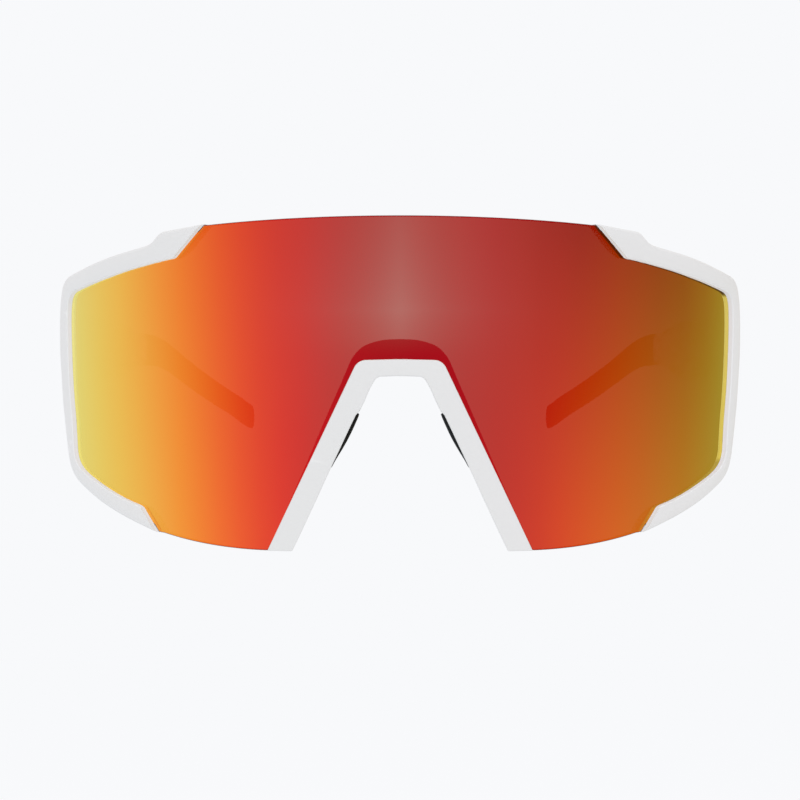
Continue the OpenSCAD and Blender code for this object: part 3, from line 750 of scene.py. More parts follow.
def mark_walls(obj):
    """second material, with the painted glow and painted shade, on the wall of the lip that
    meets the lens
    """
    fine = np.array([catmull(RIM, s) for s in np.arange(0, len(RIM) - 1, 0.1)])
    for face in obj.data.polygons:
        x, y, z = (c * 1000 for c in face.center)
        w = math.hypot(x, y - AXIS_Y) - LENS_R
        if not -3.3 < w < 1.19:
            continue
        radial = np.array([x, y - AXIS_Y, 0]) / (LENS_R + w)
        if abs(np.dot(radial, face.normal)) > 0.85:
            continue
        point = np.array([LENS_R * math.asin(abs(x) / (LENS_R + w)), z - EYE])
        to_inner = np.min(np.linalg.norm(fine[:, 2:4] - point, axis=1))
        to_outer = np.min(np.linalg.norm(fine[:, 0:2] - point, axis=1))
        to_end = min(distance_to_segment(point, row[:2], row[2:4])
                     for row in (RIM[0], RIM[-1]))
        if to_end < 0.12 or (w > 0 and to_inner < 0.6 and to_inner < to_outer):
            face.material_index = 1


side_frame = side_frame_mesh()
for side_name, side_mesh in (("left", side_frame), ("right", mirrored(side_frame))):
    mark_walls(piece(side_mesh, "side_frame_shell_" + side_name, [WHITE, WALL_WHITE],
                     "front", "side_frame_" + side_name, sharp=38))

# ---- nose bridge -----------------------------------------------------------
# Outlines of the bridge, x and v, from foot to foot over the crown.
OUT_LINE = np.array([[-35.55, -49.4], [-8.31, 7.8], [0, 8.0], [8.31, 7.8], [35.55, -49.4]])
IN_LINE = np.array([[-33.15, -54.4], [-4.62, 4.5], [0, 4.68], [4.62, 4.5], [33.15, -54.4]])
# The legs are relieved a little where the pads pass behind their inner edge: v, amount.
RELIEF = np.array([[-25.4, 0.0], [-21.5, 0.08], [-18.3, 0.14], [-15.3, 0.23], [-12.5, 0.30],
                   [-8.0, 0.36], [-5.5, 0.40], [-2.75, 0.41], [-2.25, 0.02], [0.0, 0.02],
                   [1.4, 0.13], [2.8, 0.12], [3.8, 0.0]])
FOOT = -EYE
FOOT_TOP = -28.45                # under this height the legs are full depth
WEB = 2.05                       # outer edge to the web behind the lens
WEB_SLANT = 0.905                # that width on the legs, taken square to them
BRIDGE_DEPTH = 4.2
FILLET_STEPS = 10
STATION_COUNTS = [60, 10, 24, 10, 60]    # leg, corner, crown, corner, leg


def fillet(path, radii):
    """open polyline with true arcs at its corners"""
    out = [path[0]]
    for i in range(1, len(path) - 1):
        corner = path[i]
        back, ahead = unit(path[i - 1] - corner), unit(path[i + 1] - corner)
        half = math.acos(float(back @ ahead)) / 2
        reach = radii[i] / math.tan(half)
        start, end = corner + back * reach, corner + ahead * reach
        centre = corner + unit(back + ahead) * radii[i] / math.sin(half)
        first = math.atan2(*(start - centre)[::-1])
        final = math.atan2(*(end - centre)[::-1])
        sweep = (final - first + math.pi) % (2 * math.pi) - math.pi
        for k in range(FILLET_STEPS + 1):
            angle = first + sweep * k / FILLET_STEPS
            out.append(centre + radii[i] * np.array([math.cos(angle), math.sin(angle)]))
    out.append(path[-1])
    return np.array(out)


def shifted(path, distance):
    """open polyline moved to its right, corners kept sharp"""
    ways = [unit(b - a) for a, b in zip(path[:-1], path[1:])]
    normals = [np.array([way[1], -way[0]]) for way in ways]
    out = [path[0] + normals[0] * distance]
    for point, before, after in zip(path[1:-1], normals[:-1], normals[1:]):
        middle = unit(before + after)
        out.append(point + middle * distance / float(middle @ before))
    out.append(path[-1] + normals[-1] * distance)
    return np.array(out)


def outer_line(distance=0.0):
    """outer edge of the bridge, moved towards the nose"""
    return fillet(shifted(OUT_LINE, distance), [0, 2.6, 60, 2.6, 0])


def inner_line(distance=0.0):
    """inner edge of the bridge, moved away from the nose"""
    return fillet(shifted(IN_LINE, -distance), [0, 1.5, 40, 1.5, 0])


def cut_below(path, v):
    """drops what lies under height v, ending both ends exactly on it"""
    points = list(path)
    while points[1][1] < v:
        points.pop(0)
    while points[-2][1] < v:
        points.pop()
    for end, near in ((0, 1), (-1, -2)):
        t = (v - points[end][1]) / (points[near][1] - points[end][1])
        points[end] = points[end] + (points[near] - points[end]) * t
    return np.array(points)


def stations(path):
    """even points along each leg, top corner and the crown of a bridge line"""
    run = lengths(path)
    last = len(path) - 1
    marks = [0, 1, 1 + FILLET_STEPS, last - 1 - FILLET_STEPS, last - 1, last]
    spots = [0.0]
    for a, b, count in zip(marks[:-1], marks[1:], STATION_COUNTS):
        spots += list(np.linspace(run[a], run[b], count + 1)[1:])
    return path_at(path, spots)


def bridge_ring(outer, inner, depth, foot):
    width = np.linalg.norm(inner - outer)
    way = (inner - outer) / width
    on_leg = abs(way[1]) < 0.5
    if foot:
        web = 0.25 if on_leg else WEB
    else:
        web = min(WEB / WEB_SLANT if on_leg else WEB, width - 1.2)
    corners = [(0, 0.004), (0, LIP_FRONT - 0.02), (width, LIP_FRONT - 0.02),
               (width - 0.3, -BRIDGE_DEPTH), (web, -BRIDGE_DEPTH), (web, 0.004)]
    profile = inset(rounded(corners, [0.01, 0.42, 0.38, 0.5, 0.4, 0.1], 5), depth)
    xv = outer + profile[:, :1] * way
    return cut_point(xv[:, 0], xv[:, 1], profile[:, 1])


def bridge_mesh():
    outer = stations(cut_below(outer_line(), FOOT))
    inner = stations(cut_below(inner_line(), FOOT))
    inner[:, 0] += np.sign(inner[:, 0]) * np.interp(
        inner[:, 1], RELIEF[:, 0], RELIEF[:, 1], left=0.0, right=0.0)
    return loft([bridge_ring(*points, depth, at_end or points[0][1] < FOOT_TOP)
                 for points, depth, at_end in round_ended([outer, inner], radius=0.22)])


piece(bridge_mesh(), "nose_bridge_shell", [WHITE], "front", "nose_bridge",
      sharp=38)

# ---- pad carrier -----------------------------------------------------------
# Outer outline of its left half, x and v, from the crown down.
CARRIER = np.array([[0, 12.0], [3, 11.85], [5, 11.45], [6.8, 10.8], [8.0, 10.0], [9.0, 8.9],
                    [9.8, 7.6], [11.6, 3.4], [13.6, -1.1], [15.85, -6.3], [18.2, -11.8],
                    [20.55, -17.2], [22.2, -21.0], [22.4, -22.4], [21.7, -23.3]])
# Points of the outline that match the ends of the bridge's top corners.
CARRIER_CORNERS = [(-10.4, 6.2), (-7.4, 10.4), (7.4, 10.4), (10.4, 6.2)]
CARRIER_LOW = CARRIER[-1, 1]
CARRIER_GAP = 0.06               # behind the lens and the bridge
CARRIER_BACK = 1.80              # reach behind the bridge
SCREW_HOLES = [(7.75, 2.1), (18.3, -20.6)]      # x, v
PAD_KNUCKLES = [(-7.9, 1.12), (6.3, 0.88)]      # place along the pad axis, radius

# Pad axes: back, aside and along the pad's hinge.
PAD_AT = np.array(JOINTS["nose_pad_left"]["pos_m"]) * 1000
PAD_ALONG = unit(np.array(JOINTS["nose_pad_left"]["axis"]))
PAD_BACK = unit(np.array([0, 1, 0]) - PAD_ALONG[1] * PAD_ALONG)
PAD_AXES = np.array([PAD_BACK, np.cross(PAD_ALONG, PAD_BACK), PAD_ALONG])


def carrier_ring(web, outer, inner, depth):
    """section from the outer outline past the edge of the web to the inner one"""
    wing = np.linalg.norm(web - outer)
    seat = np.linalg.norm(inner - web)
    front, step = -LENS_T - CARRIER_GAP, -BRIDGE_DEPTH - CARRIER_GAP
    back = -BRIDGE_DEPTH - CARRIER_BACK
    corners = [(0, front), (wing, front), (wing, step), (wing + seat, step),
               (wing + seat, back), (0, back)]
    profile = inset(rounded(corners, [0.25, 0.15, 0.1, 0.35, 0.6, 0.8], 5), depth)
    t = profile[:, :1]
    xv = np.where(t < wing, outer + (web - outer) * t / max(wing, 1e-6),
                  web + (inner - web) * (t - wing) / max(seat, 1e-6))
    return cut_point(xv[:, 0], xv[:, 1], profile[:, 1])


def carrier_plate():
    half = np.array([catmull(CARRIER, s) for s in np.linspace(0, len(CARRIER) - 1, 240)])
    outline = np.concatenate([half[::-1] * [-1, 1], half[1:]])
    web = stations(cut_below(outer_line(2.0), CARRIER_LOW))
    inner = stations(cut_below(inner_line(0.5), CARRIER_LOW))
    # spread the outline so that its corners fall on the corners of the web edge
    run, web_run = lengths(outline), lengths(web)
    corner_runs = [run[np.argmin((outline[:, 0] - x) ** 2 + (outline[:, 1] - v) ** 2)]
                   for x, v in CARRIER_CORNERS]
    outer = path_at(outline, np.interp(web_run, web_run[np.cumsum([0] + STATION_COUNTS)],
                                       [0, *corner_runs, run[-1]]))
    return loft([carrier_ring(*points, depth)
                 for points, depth, _ in round_ended([web, outer, inner], radius=0.3)])


def carrier_mesh():
    """plate with knuckles for the pads and holes for the screws"""
    adds, cuts = [], []
    for side in (1, -1):
        axes = PAD_AXES * np.array([side, 1, 1])
        at = PAD_AT * np.array([side, 1, 1])
        for z, r in PAD_KNUCKLES:
            adds.append(cylinder(r, z, z + 1.6, at, axes, 40, chamfer=0.2))
            adds.append(box_mesh((-2.7, 0.07 - r, z + 0.1), (0.2, r - 0.07, z + 1.5),
                                 at, axes))
        for x, v in SCREW_HOLES:
            y = LENS_Y + 5.6 + 0.0068 * x * x
            cuts.append(cylinder(1.15, y, y + 8, (side * x, 0, v + EYE),
                                 [[1, 0, 0], [0, 0, 1], [0, 1, 0]], 40))
    return boolean(boolean(carrier_plate(), adds, "UNION"), cuts, "DIFFERENCE")


piece(carrier_mesh(), "pad_carrier_shell", [BLACK], "front",
      "nose_pad_carrier", sharp=38)

# ---- lens ------------------------------------------------------------------
LENS_CHAMFER = 0.14
LENS_GRID = 1.6


def lens_outline():
    """edge in u, v, from the crown round to the nose and back up the other side"""
    top = [(u, LENS_TOP - 0.00076 * u * u) for u in np.arange(0, 40.4, 0.65)]
    notch = [(40.98, 34.99), (42.12, 33.93), (42.8, 33.55)]
    in_slot = []
    for s in np.arange(1.5, len(RIM) - 2.5 + 1e-6, 1 / 6):
        outer, way = across_rim(catmull(RIM, s))
        in_slot.append(tuple(outer + way * (RIM_WALL + 0.3)))
    low = [(54.6, -24.7), (53.63, -25.28), (52.55, -26.58), (52.0, -26.76)]
    bottom = [(u, -29.74 + 0.00426 * (u - 25) ** 2) for u in np.arange(51.2, 27.2, -0.8)]
    nose = [(26.75, -29.7), (26.48, -29.55), (25.87, -28.3)]
    # up along the web of the bridge, in steps of at most about 0.8
    edge = cut_below(outer_line(1.85), -28.3)
    edge = edge[len(edge) // 2:]
    edge = edge[edge[:, 0] > 0.02]
    cut = [(LENS_R * math.asin(x / LENS_R), v) for x, v in edge[::-1]]
    dense = []
    for a, b in zip(cut[:-1], cut[1:]):
        count = max(int(math.hypot(a[0] - b[0], a[1] - b[1]) / 0.8), 1)
        dense += [(a[0] + (b[0] - a[0]) * k / count, a[1] + (b[1] - a[1]) * k / count)
                  for k in range(count)]
    dense += [cut[-1], (0.0, cut[-1][1])]
    half = np.array(top + notch + in_slot + low + bottom + nose + dense)
    return np.concatenate([half, half[1:-1][::-1] * [-1, 1]])


def lens_ring():
    """outline with softened corners and no crowded points"""
    outline = lens_outline()
    ring = rounded(outline, [0.35] * len(outline), 2)
    keep = [0]
    for k in range(1, len(ring)):
        if np.linalg.norm(ring[k] - ring[keep[-1]]) > 0.05:
            keep.append(k)
    return ring[keep]


def is_inside(ring, x, y):
    a, b = ring, np.roll(ring, -1, 0)
    crosses = (a[:, 1] > y) != (b[:, 1] > y)
    rise = b[:, 1] - a[:, 1]
    hits = ((b[:, 0] - a[:, 0]) * (y - a[:, 1])
            / np.where(np.abs(rise) < 1e-12, 1e-12, rise) + a[:, 0])
    return np.sum(crosses & (x < hits)) % 2 == 1


def lens_mesh():
    ring = lens_ring()
    count = len(ring)
    # points inside the outline, and not too near it
    grid = [(u, v) for u in np.arange(-86, 86.1, LENS_GRID)
            for v in np.arange(-30, 37, LENS_GRID)
            if np.min((ring[:, 0] - u) ** 2 + (ring[:, 1] - v) ** 2) > 0.9 ** 2
            and is_inside(ring, u, v)]
    points = [Vector(p) for p in inset(ring, LENS_CHAMFER)] + [Vector(p) for p in grid]
    edges = [(i, (i + 1) % count) for i in range(count)]
    flat, _, panels, sources, _, _ = delaunay_2d_cdt(points, edges, [], 1, 1e-5)
    flat = np.array([[v.x, v.y] for v in flat])
    size = len(flat)
    # which output vertex stands for each boundary point
    where = {source: i for i, group in enumerate(sources) for source in group}
    rim = [where[i] for i in range(count)]
    verts = np.concatenate([lens_point(flat[:, 0], flat[:, 1], 0.0),
                            lens_point(flat[:, 0], flat[:, 1], -LENS_T),
                            lens_point(ring[:, 0], ring[:, 1], -LENS_CHAMFER),
                            lens_point(ring[:, 0], ring[:, 1], -LENS_T + LENS_CHAMFER)])
    faces = []
    for panel in panels:
        faces.append(tuple(panel))
        faces.append(tuple(size + i for i in reversed(panel)))
    # front chamfer, edge and rear chamfer
    edge_1, edge_2 = 2 * size, 2 * size + count
    bands = [rim, range(edge_1, edge_2), range(edge_2, edge_2 + count),
             [size + i for i in rim]]
    for i in range(count):
        j = (i + 1) % count
        for near, far in zip(bands[:-1], bands[1:]):
            faces.append((near[i], far[i], far[j], near[j]))
    mesh = bpy.data.meshes.new("lens")
    mesh.from_pydata([tuple(v) for v in verts * 0.001], [], faces)
    mesh.polygons.foreach_set("material_index", [0, 1] * len(panels) + [2] * (3 * count))
    mesh.polygons.foreach_set("use_smooth", [True] * len(faces))
    bm = bmesh.new()
    bm.from_mesh(mesh)
    bmesh.ops.recalc_face_normals(bm, faces=bm.faces)
    bm.to_mesh(mesh)
    bm.free()
    # true cylinder normals on both faces, edge normals in between
    radial = np.array([v.co for v in mesh.vertices]) * 1000 - np.array([0, AXIS_Y, 0])
    radial[:, 2] = 0
    radial /= np.linalg.norm(radial, axis=1, keepdims=True)
    out = outward(ring)
    angle = ring[:, 0] / LENS_R
    tangent = np.stack([np.cos(angle), np.sin(angle), 0 * angle], 1)
    edge_normal = tangent * out[:, :1] + np.array([0, 0, 1]) * out[:, 1:]
    normals = np.concatenate([radial[:size], -radial[size:2 * size],
                              edge_normal, edge_normal])
    mesh.normals_split_custom_set_from_vertices([tuple(x) for x in normals])
    return mesh


place(lens_mesh(), "lens_shield", LENS_MATERIALS, "front", "lens")

# ---- temples and tips ------------------------------------------------------
# Depth behind the lens front, x, height over the eye line, height, thickness.
EAR_H = EAR_TOP - EAR_LOW
ARM = np.array([
    [57.8, 70.45, 11.40, EAR_H, 4.8], [63, 70.10, 11.45, EAR_H - 0.4, 4.6],
    [72, 69.20, 11.55, EAR_H - 0.6, 4.2], [82, 67.80, 11.55, 13.7, 3.9],
    [88, 66.85, 11.55, 13.45, 3.75], [92, 66.15, 11.62, 12.9, 3.7],
    [96, 65.35, 11.78, 11.8, 3.65], [100, 64.50, 11.95, 10.3, 3.6],
    [104, 63.70, 12.05, 8.8, 3.6], [107, 63.06, 12.08, 7.9, 3.6],
    [110.5, 62.25, 12.10, 7.4, 3.6]])
TIP = np.array([
    [110.6, 62.25, 12.10, 7.6, 4.0], [114, 61.35, 12.12, 7.5, 4.1],
    [117.5, 60.25, 11.95, 7.3, 4.2], [122.6, 58.35, 11.30, 6.4, 4.2],
    [129, 55.80, 9.35, 5.4, 4.2], [136.7, 52.65, 6.45, 5.15, 4.2],
    [148, 47.75, 2.35, 5.1, 4.2], [157.6, 43.45, -0.85, 5.1, 4.2],
    [160.6, 42.00, -1.95, 5.25, 4.15], [162.0, 41.05, -2.75, 5.6, 4.0],
    [162.8, 40.10, -3.50, 6.0, 3.8], [163.25, 39.20, -4.10, 6.1, 3.7],
    [163.5, 38.50, -4.40, 5.9, 3.5], [163.56, 38.20, -4.45, 4.9, 2.8]])
# Lengths that stand for one table row where the ends are rounded over.
ARM_FIRST_ROW, ARM_LAST_ROW, TIP_FIRST_ROW = 5.2, 4.6, 3.6
RIB_PITCH, RIB_DEPTH = 1.9, 0.24


def oblong(height, thickness, power, depth):
    """x, z of a superellipse"""
    angles = turn_angles(44)
    c, s = np.cos(angles), np.sin(angles)
    return (np.sign(c) * np.abs(c) ** (2 / power) * max(thickness / 2 - depth, 0.02),
            np.sign(s) * np.abs(s) ** (2 / power) * max(height / 2 - depth, 0.02))


def arm_ring(table, s, power, depth, ribs=None):
    row = catmull(table, s)
    before = catmull(table, max(s - 0.15, 0))
    after = catmull(table, min(s + 0.15, len(table) - 1))
    way = unit([after[1] - before[1], after[0] - before[0]])
    across = np.array([way[1], -way[0], 0])
    x, z = oblong(row[3], row[4], power, depth)
    if ribs:
        x = ribs(row, x, z)
    base = np.array([row[1], LENS_Y + row[0], EYE + row[2]])
    return base + across * x[:, None] + np.array([0, 0, 1.0]) * z[:, None]


def tongue_mesh():
    """knuckle, neck and the heel that stops it when open"""
    low, high = HINGE_Z - TONGUE_H / 2, HINGE_Z + TONGUE_H / 2
    arc = [(KNUCKLE_R * math.cos(a + math.pi), KNUCKLE_R * math.sin(a + math.pi))
           for a in np.linspace(0, math.pi, 25)]
    arc = [(x, y) for x, y in arc if not (x > 0.1 and y < -1.2)]
    heel = [(0.6, -2.7), (2.4, -2.7), (2.42, 0.0), (2.35, 4.4), (-2.2, 4.4)]
    outline = rounded(arc + heel, [0.05] * len(arc) + [0.1, 0.3, 0.2, 0.1, 0.1], 2)
    rings = []
    for z, depth in ((low, 0.15), (low + 0.05, 0.05), (low + 0.15, 0),
                     (high - 0.15, 0), (high - 0.05, 0.05), (high, 0.15)):
        xy = inset(outline, depth)
        rings.append(np.column_stack([HINGE_X + xy[:, 0], HINGE_Y + xy[:, 1],
                                      0 * xy[:, 0] + z]))
    bore = cylinder(1.22, low - 1, high + 1, (HINGE_X, HINGE_Y, 0))
    return boolean(loft(rings), [bore], "DIFFERENCE")


def arm_mesh():
    last = len(ARM) - 1
    ends = end_round(0.5, 6)
    run = [(x / ARM_FIRST_ROW, depth) for x, depth in ends]
    run += [(s, 0) for s in np.arange(0.2, last - 0.05, 0.1)]
    run += [(last - x / ARM_LAST_ROW, depth * 0.5) for x, depth in reversed(ends)]
    body = loft([arm_ring(ARM, s, 4.4, depth) for s, depth in run])
    return boolean(body, [tongue_mesh()], "UNION")


def grip_ribs(row, x, z):
    """fine grip ribs across both flat sides, fading out at their ends"""
    along = row[0]
    fade = float(smoothstep(119, 122, along) * (1 - smoothstep(151, 155, along)))
    wave = 0.5 - 0.5 * math.cos(2 * math.pi * (along - 119) / RIB_PITCH)
    flat = np.clip(1 - (np.abs(z) / (0.72 * (row[3] / 2))) ** 6, 0, 1)
    cut = RIB_DEPTH * fade * (wave ** 2.2) * flat
    return x - np.sign(x) * cut * (np.abs(x) > 0.5)


def tip_mesh():
    last = len(TIP) - 1
    run = [(x / TIP_FIRST_ROW, depth) for x, depth in end_round(0.35)]
    # even steps along the tip
    rows = np.linspace(0, last, 1200)
    distance = lengths(np.array([catmull(TIP, s)[:3] for s in rows]))
    run += [(float(np.interp(x, distance, rows)), 0)
            for x in np.arange(0.6, distance[-1] - 1e-3, 0.24)]
    run.append((last - 1e-6, 0))
    rings = [arm_ring(TIP, s, 3.4, depth, grip_ribs) for s, depth in run]
    # close the end with a soft dome
    end = rings[-1]
    centre = end.mean(0)
    way = unit(catmull(TIP, last)[[1, 0, 2]] - catmull(TIP, last - 0.5)[[1, 0, 2]])
    for scale, reach in ((0.82, 0.10), (0.55, 0.20), (0.25, 0.26)):
        rings.append(centre + (end - centre) * scale + way * reach)
    return loft(rings)


right_and_left(arm_mesh(), "temple_shell_", WHITE, "temple_", "temple_",
               sharp=38)
right_and_left(tip_mesh(), "tip_sleeve_", RUBBER, "temple_",
               "temple_tip_", sharp=50)

# ---- nose pads: soft, so the parts flow into one another -------------------
SPLAY = math.radians(25.0)       # of the blade about the pad's hinge
# The barrel swells a little and tapers towards one end: radius, place along the hinge.
BARREL = [(1.50, -6.2), (1.66, -6.05), (1.72, -5.2), (1.76, -4.3), (1.79, -3.2),
          (1.79, -2.2), (1.76, -1.1), (1.70, 0), (1.61, 1.1), (1.50, 2.2),
          (1.38, 3.2), (1.26, 4.2), (1.19, 5.2), (1.16, 6.05), (1.02, 6.2)]
BLADE_X, BLADE_Z = 6.1, 2.6      # middle of the blade
# Sideways shift of the left pad by height: v, x.
PAD_SHIFT_V, PAD_SHIFT_X = [-12.5, -11.0, -7.8, -5.5], [0.12, 0.16, 0.23, 0.29]


def blade_ring(t):
    """section of the blade; t runs from -1 to 1 along it"""
    z = BLADE_Z + 9.6 * t
    taper = math.sqrt(max(1 - t * t, 0.004))
    width, thickness = 4.1 * taper, 0.95 * math.sqrt(taper)
    a = turn_angles(48)
    x = BLADE_X + width * np.cos(a)
    y = (thickness * np.sin(a) * np.where(np.sin(a) > 0, 0.85, 1.1)
         + 0.018 * (x - BLADE_X) ** 2 + 0.012 * (z - BLADE_Z) ** 2)
    return np.column_stack([x * math.cos(SPLAY) - y * math.sin(SPLAY),
                            x * math.sin(SPLAY) + y * math.cos(SPLAY) - 1.0, 0 * x + z])


def pad_mesh():
    spots = np.sin(np.linspace(-math.pi / 2, math.pi / 2, 41)) * 0.998
    splayed = np.array([[math.cos(SPLAY), math.sin(SPLAY), 0],
                        [-math.sin(SPLAY), math.cos(SPLAY), 0], [0, 0, 1]])
    parts = [loft([blade_ring(t) for t in spots], PAD_AT, PAD_AXES),
             turned(BARREL, PAD_AT, PAD_AXES),
             box_mesh((0, -1.55, -4.6), (4.4, -0.05, 4.0), PAD_AT, splayed @ PAD_AXES)]
    bm = bmesh.new()
    for part in parts:
        bm.from_mesh(part)
    mesh = bpy.data.meshes.new("pad")
    bm.to_mesh(mesh)
    bm.free()
    obj = add_object(mesh, "pad_tmp")
    remesh = obj.modifiers.new("remesh", "REMESH")
    remesh.mode = "VOXEL"
    remesh.voxel_size = 0.00017
    smooth = obj.modifiers.new("smooth", "SMOOTH")
    smooth.factor = 0.5
    smooth.iterations = 9
    mesh = evaluated(obj)
    for v in mesh.vertices:
        v.co.x += 0.001 * float(np.interp(v.co.z * 1000 - EYE, PAD_SHIFT_V, PAD_SHIFT_X))
    return mesh


right_and_left(pad_mesh(), "pad_soft_", PAD_RUBBER, "nose_pad_",
               "nose_pad_", sharp=0)

# ---- hardware kept from the CAD model --------------------------------------
HARDWARE = {"bridge_screws": STEEL, "temple_core": STRIP, "nose_pad_pin": STEEL,
            "hinge_screw": STEEL, "hinge_insert": BRASS, "hinge_bush": NYLON,
            "hinge_washers": STEEL}


def dress_hardware(obj, material, bevelled):
    for slot in obj.material_slots:
        slot.material = material
    if not obj.material_slots:
        obj.data.materials.append(material)
    weld = obj.modifiers.new("weld", "WELD")
    weld.merge_threshold = 2e-6
    if bevelled:
        bevel = obj.modifiers.new("edges", "BEVEL")
        bevel.width = 0.00005
        bevel.segments = 2
        bevel.limit_method = "ANGLE"
        bevel.angle_limit = math.radians(40)


for node_name, node_obj in frame["nodes"].items():
    for prefix, hardware_material in HARDWARE.items():
        if node_name.startswith(prefix):
            dress_hardware(node_obj, hardware_material, prefix != "temple_core")

# ---- stage: pale floor, soft studio light, camera --------------------------
BACKDROP = (0.939, 0.947, 0.965)
CEILING = (0.62, 0.62, 0.63)
FILL_LOW, FILL_HIGH = (0.86, 0.86, 0.87), (1.03, 1.03, 1.03)
# Studio walls as reflections see them: azimuth in degrees, 0 towards the camera and
# positive to the wearer's left, and colour. Bright all along the wearer's right,
# dimmer and warmer on the left.
WALL_BELOW = [
    (-180, (0.75, 0.8, 0.8)), (-122, (0.98, 1.08, 1.20)), (-100, (0.99, 1.14, 1.25)),
    (-80, (1.01, 1.32, 1.50)), (-58, (1.09, 1.56, 1.62)), (-37, (1.15, 1.86, 1.30)),
    (-12, (1.06, 1.30, 1.05)), (12, (0.99, 1.15, 1.0)), (31, (0.885, 1.08, 0.98)),
    (50, (0.88, 0.84, 0.58)), (65, (0.79, 0.62, 0.45)), (80, (0.69, 0.475, 0.29)),
    (98, (0.60, 0.42, 0.18)), (122, (0.52, 0.50, 0.24)), (150, (0.6, 0.55, 0.4)),
    (180, (0.75, 0.8, 0.8))]
WALL_LEVEL = [
    (-180, (0.75, 0.75, 0.75)), (-122, (0.98, 1.02, 1.05)), (-100, (1.0, 1.035, 1.08)),
    (-80, (1.0, 1.08, 1.12)), (-58, (1.025, 1.145, 1.20)), (-37, (1.035, 1.22, 1.10)),
    (-12, (1.01, 1.1, 1.0)), (6, (0.99, 1.0, 0.98)), (18, (0.90, 0.85, 0.90)),
    (31, (0.755, 0.57, 0.72)), (44, (0.673, 0.31, 0.35)), (57, (0.603, 0.305, 0.17)),
    (72, (0.533, 0.285, 0.12)), (88, (0.466, 0.253, 0.09)), (100, (0.44, 0.26, 0.09)),
    (112, (0.44, 0.32, 0.10)), (124, (0.46, 0.40, 0.15)), (150, (0.6, 0.5, 0.3)),
    (180, (0.75, 0.75, 0.75))]
WALL_ABOVE = [
    (-180, (0.75, 0.72, 0.70)), (-122, (0.98, 0.93, 0.95)), (-100, (1.0, 0.93, 0.94)),
    (-80, (0.98, 0.85, 0.85)), (-58, (0.953, 0.77, 0.87)), (-37, (0.913, 0.72, 0.92)),
    (-12, (0.955, 0.95, 1.0)), (6, (0.965, 0.95, 0.98)), (18, (0.846, 0.75, 0.90)),
    (31, (0.642, 0.15, 0.63)), (44, (0.472, 0.01, 0.13)), (57, (0.365, 0.03, 0.02)),
    (72, (0.335, 0.09, 0.012)), (88, (0.287, 0.088, 0.012)), (100, (0.29, 0.10, 0.02)),
    (112, (0.35, 0.17, 0.05)), (124, (0.42, 0.30, 0.08)), (150, (0.55, 0.45, 0.3)),
    (180, (0.75, 0.72, 0.70))]

scene = bpy.context.scene
scene.view_settings.view_transform = "Standard"
scene.view_settings.look = "None"
scene.view_settings.exposure = 0.0
scene.view_settings.gamma = 1.0


def build_world():
    world = bpy.data.worlds.new("studio")
    scene.world = world
    net = Shader(world, "OutputWorld")
    x, y, z = net.split(net.coords.outputs["Generated"])
    azimuth = net.math("ARCTAN2", x, net.math("MULTIPLY", y, -1.0))
    elevation = net.math("ARCSINE", net.math("MULTIPLY", z, 0.9999))
    azimuth = net.math("MULTIPLY", azimuth, 180 / math.pi)
    elevation = net.math("MULTIPLY", elevation, 180 / math.pi)
    turn = net.remap(azimuth, span=(-180.0, 180.0))
    below, level, above = (
        net.ramp(turn, [((degrees + 180) / 360, colour) for degrees, colour in wall])
        for wall in (WALL_BELOW, WALL_LEVEL, WALL_ABOVE))
    studio = net.mix(net.remap(elevation, span=(-3.0, 0.5)), below, level)
    studio = net.mix(net.remap(elevation, span=(0.5, 4.0)), studio, above)
    # far above and below, a soft even tone
    far = net.remap(net.math("ABSOLUTE", elevation), span=(14.0, 50.0), smooth=True)
    studio = net.mix(far, studio, CEILING)
    fill = net.mix(net.remap(z, span=(-1.0, 1.0)), FILL_LOW, FILL_HIGH)
    light_path = net.node("LightPath")
    colour = net.mix(light_path.outputs["Is Glossy Ray"], fill, studio)
    colour = net.mix(light_path.outputs["Is Camera Ray"], colour, BACKDROP)
    net.finish(net.node("Background", {"Color": colour, "Strength": 1.0}))


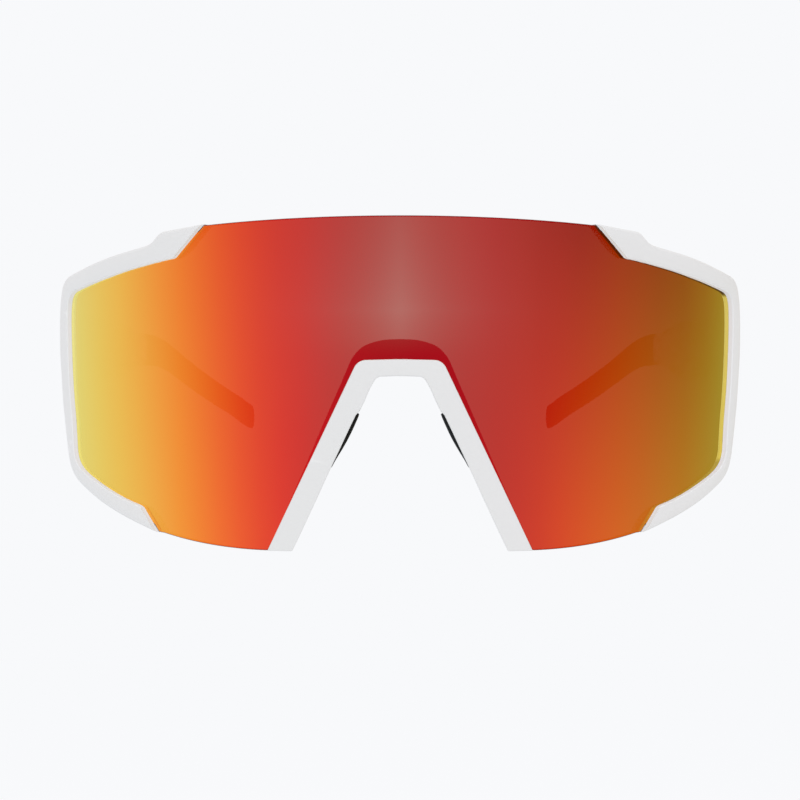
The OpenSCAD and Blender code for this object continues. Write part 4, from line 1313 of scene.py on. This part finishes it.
def floor_paper():
    """paper seen from above, melting into the backdrop at grazing angles"""
    net = new_material("floor_paper")
    incoming = net.split(net.node("NewGeometry").outputs["Incoming"])
    steep = net.remap(net.math("ABSOLUTE", incoming[2]), span=(0.10, 0.45), smooth=True)
    paper = net.mix(net.noise(scale=300, detail=3, rough=0.6),
                    (0.93, 0.935, 0.945), (0.95, 0.955, 0.965))
    amount = net.math("MULTIPLY", steep, net.node("LightPath").outputs["Is Camera Ray"])
    return net.finish(net.node("MixShader", {
        0: net.math("MULTIPLY", amount, 0.55),
        1: net.node("Emission", {"Color": BACKDROP}),
        2: net.node("BsdfDiffuse", {"Color": paper})}))


def build_floor():
    reach, cells, z = 6.0, 24, cad_lo.z - 0.0004
    row = cells + 1
    verts = [(reach * (2 * i / cells - 1), reach * (2 * j / cells - 1), z)
             for j in range(row) for i in range(row)]
    faces = [(j * row + i, j * row + i + 1, (j + 1) * row + i + 1, (j + 1) * row + i)
             for j in range(cells) for i in range(cells)]
    mesh = bpy.data.meshes.new("floor")
    mesh.from_pydata(verts, [], faces)
    floor = add_object(mesh, "floor")
    mesh.materials.append(floor_paper())
    floor.visible_glossy = False


def add_area(name, location, size, power):
    """square light aimed at the glasses"""
    light = bpy.data.lights.new(name, "AREA")
    light.shape = "RECTANGLE"
    light.size = light.size_y = size
    light.energy = power
    lamp = bpy.data.objects.new(name, light)
    lamp.location = location
    aim = Vector((0, 0, 0.03)) - Vector(location)
    lamp.rotation_euler = aim.to_track_quat("-Z", "Y").to_euler()
    scene.collection.objects.link(lamp)
    lamp.visible_glossy = False
    lamp.visible_camera = False


def add_camera():
    """level with the eye line, half a metre in front of the lens"""
    data = bpy.data.cameras.new("camera")
    camera = bpy.data.objects.new("camera", data)
    scene.collection.objects.link(camera)
    data.sensor_width = 36.0
    data.lens = 114.84
    data.shift_x = -0.0001
    data.clip_start = 0.01
    data.clip_end = 50.0
    camera.location = (0.0, LENS_Y * 0.001 - 0.5, EYE * 0.001)
    camera.rotation_euler = (math.pi / 2, 0, 0)
    scene.camera = camera


build_world()
build_floor()
add_area("key", location=(0.25, -0.85, 0.9), size=0.9, power=1.2)
add_area("top", location=(0.15, 0.1, 1.1), size=1.0, power=0.8)
add_camera()
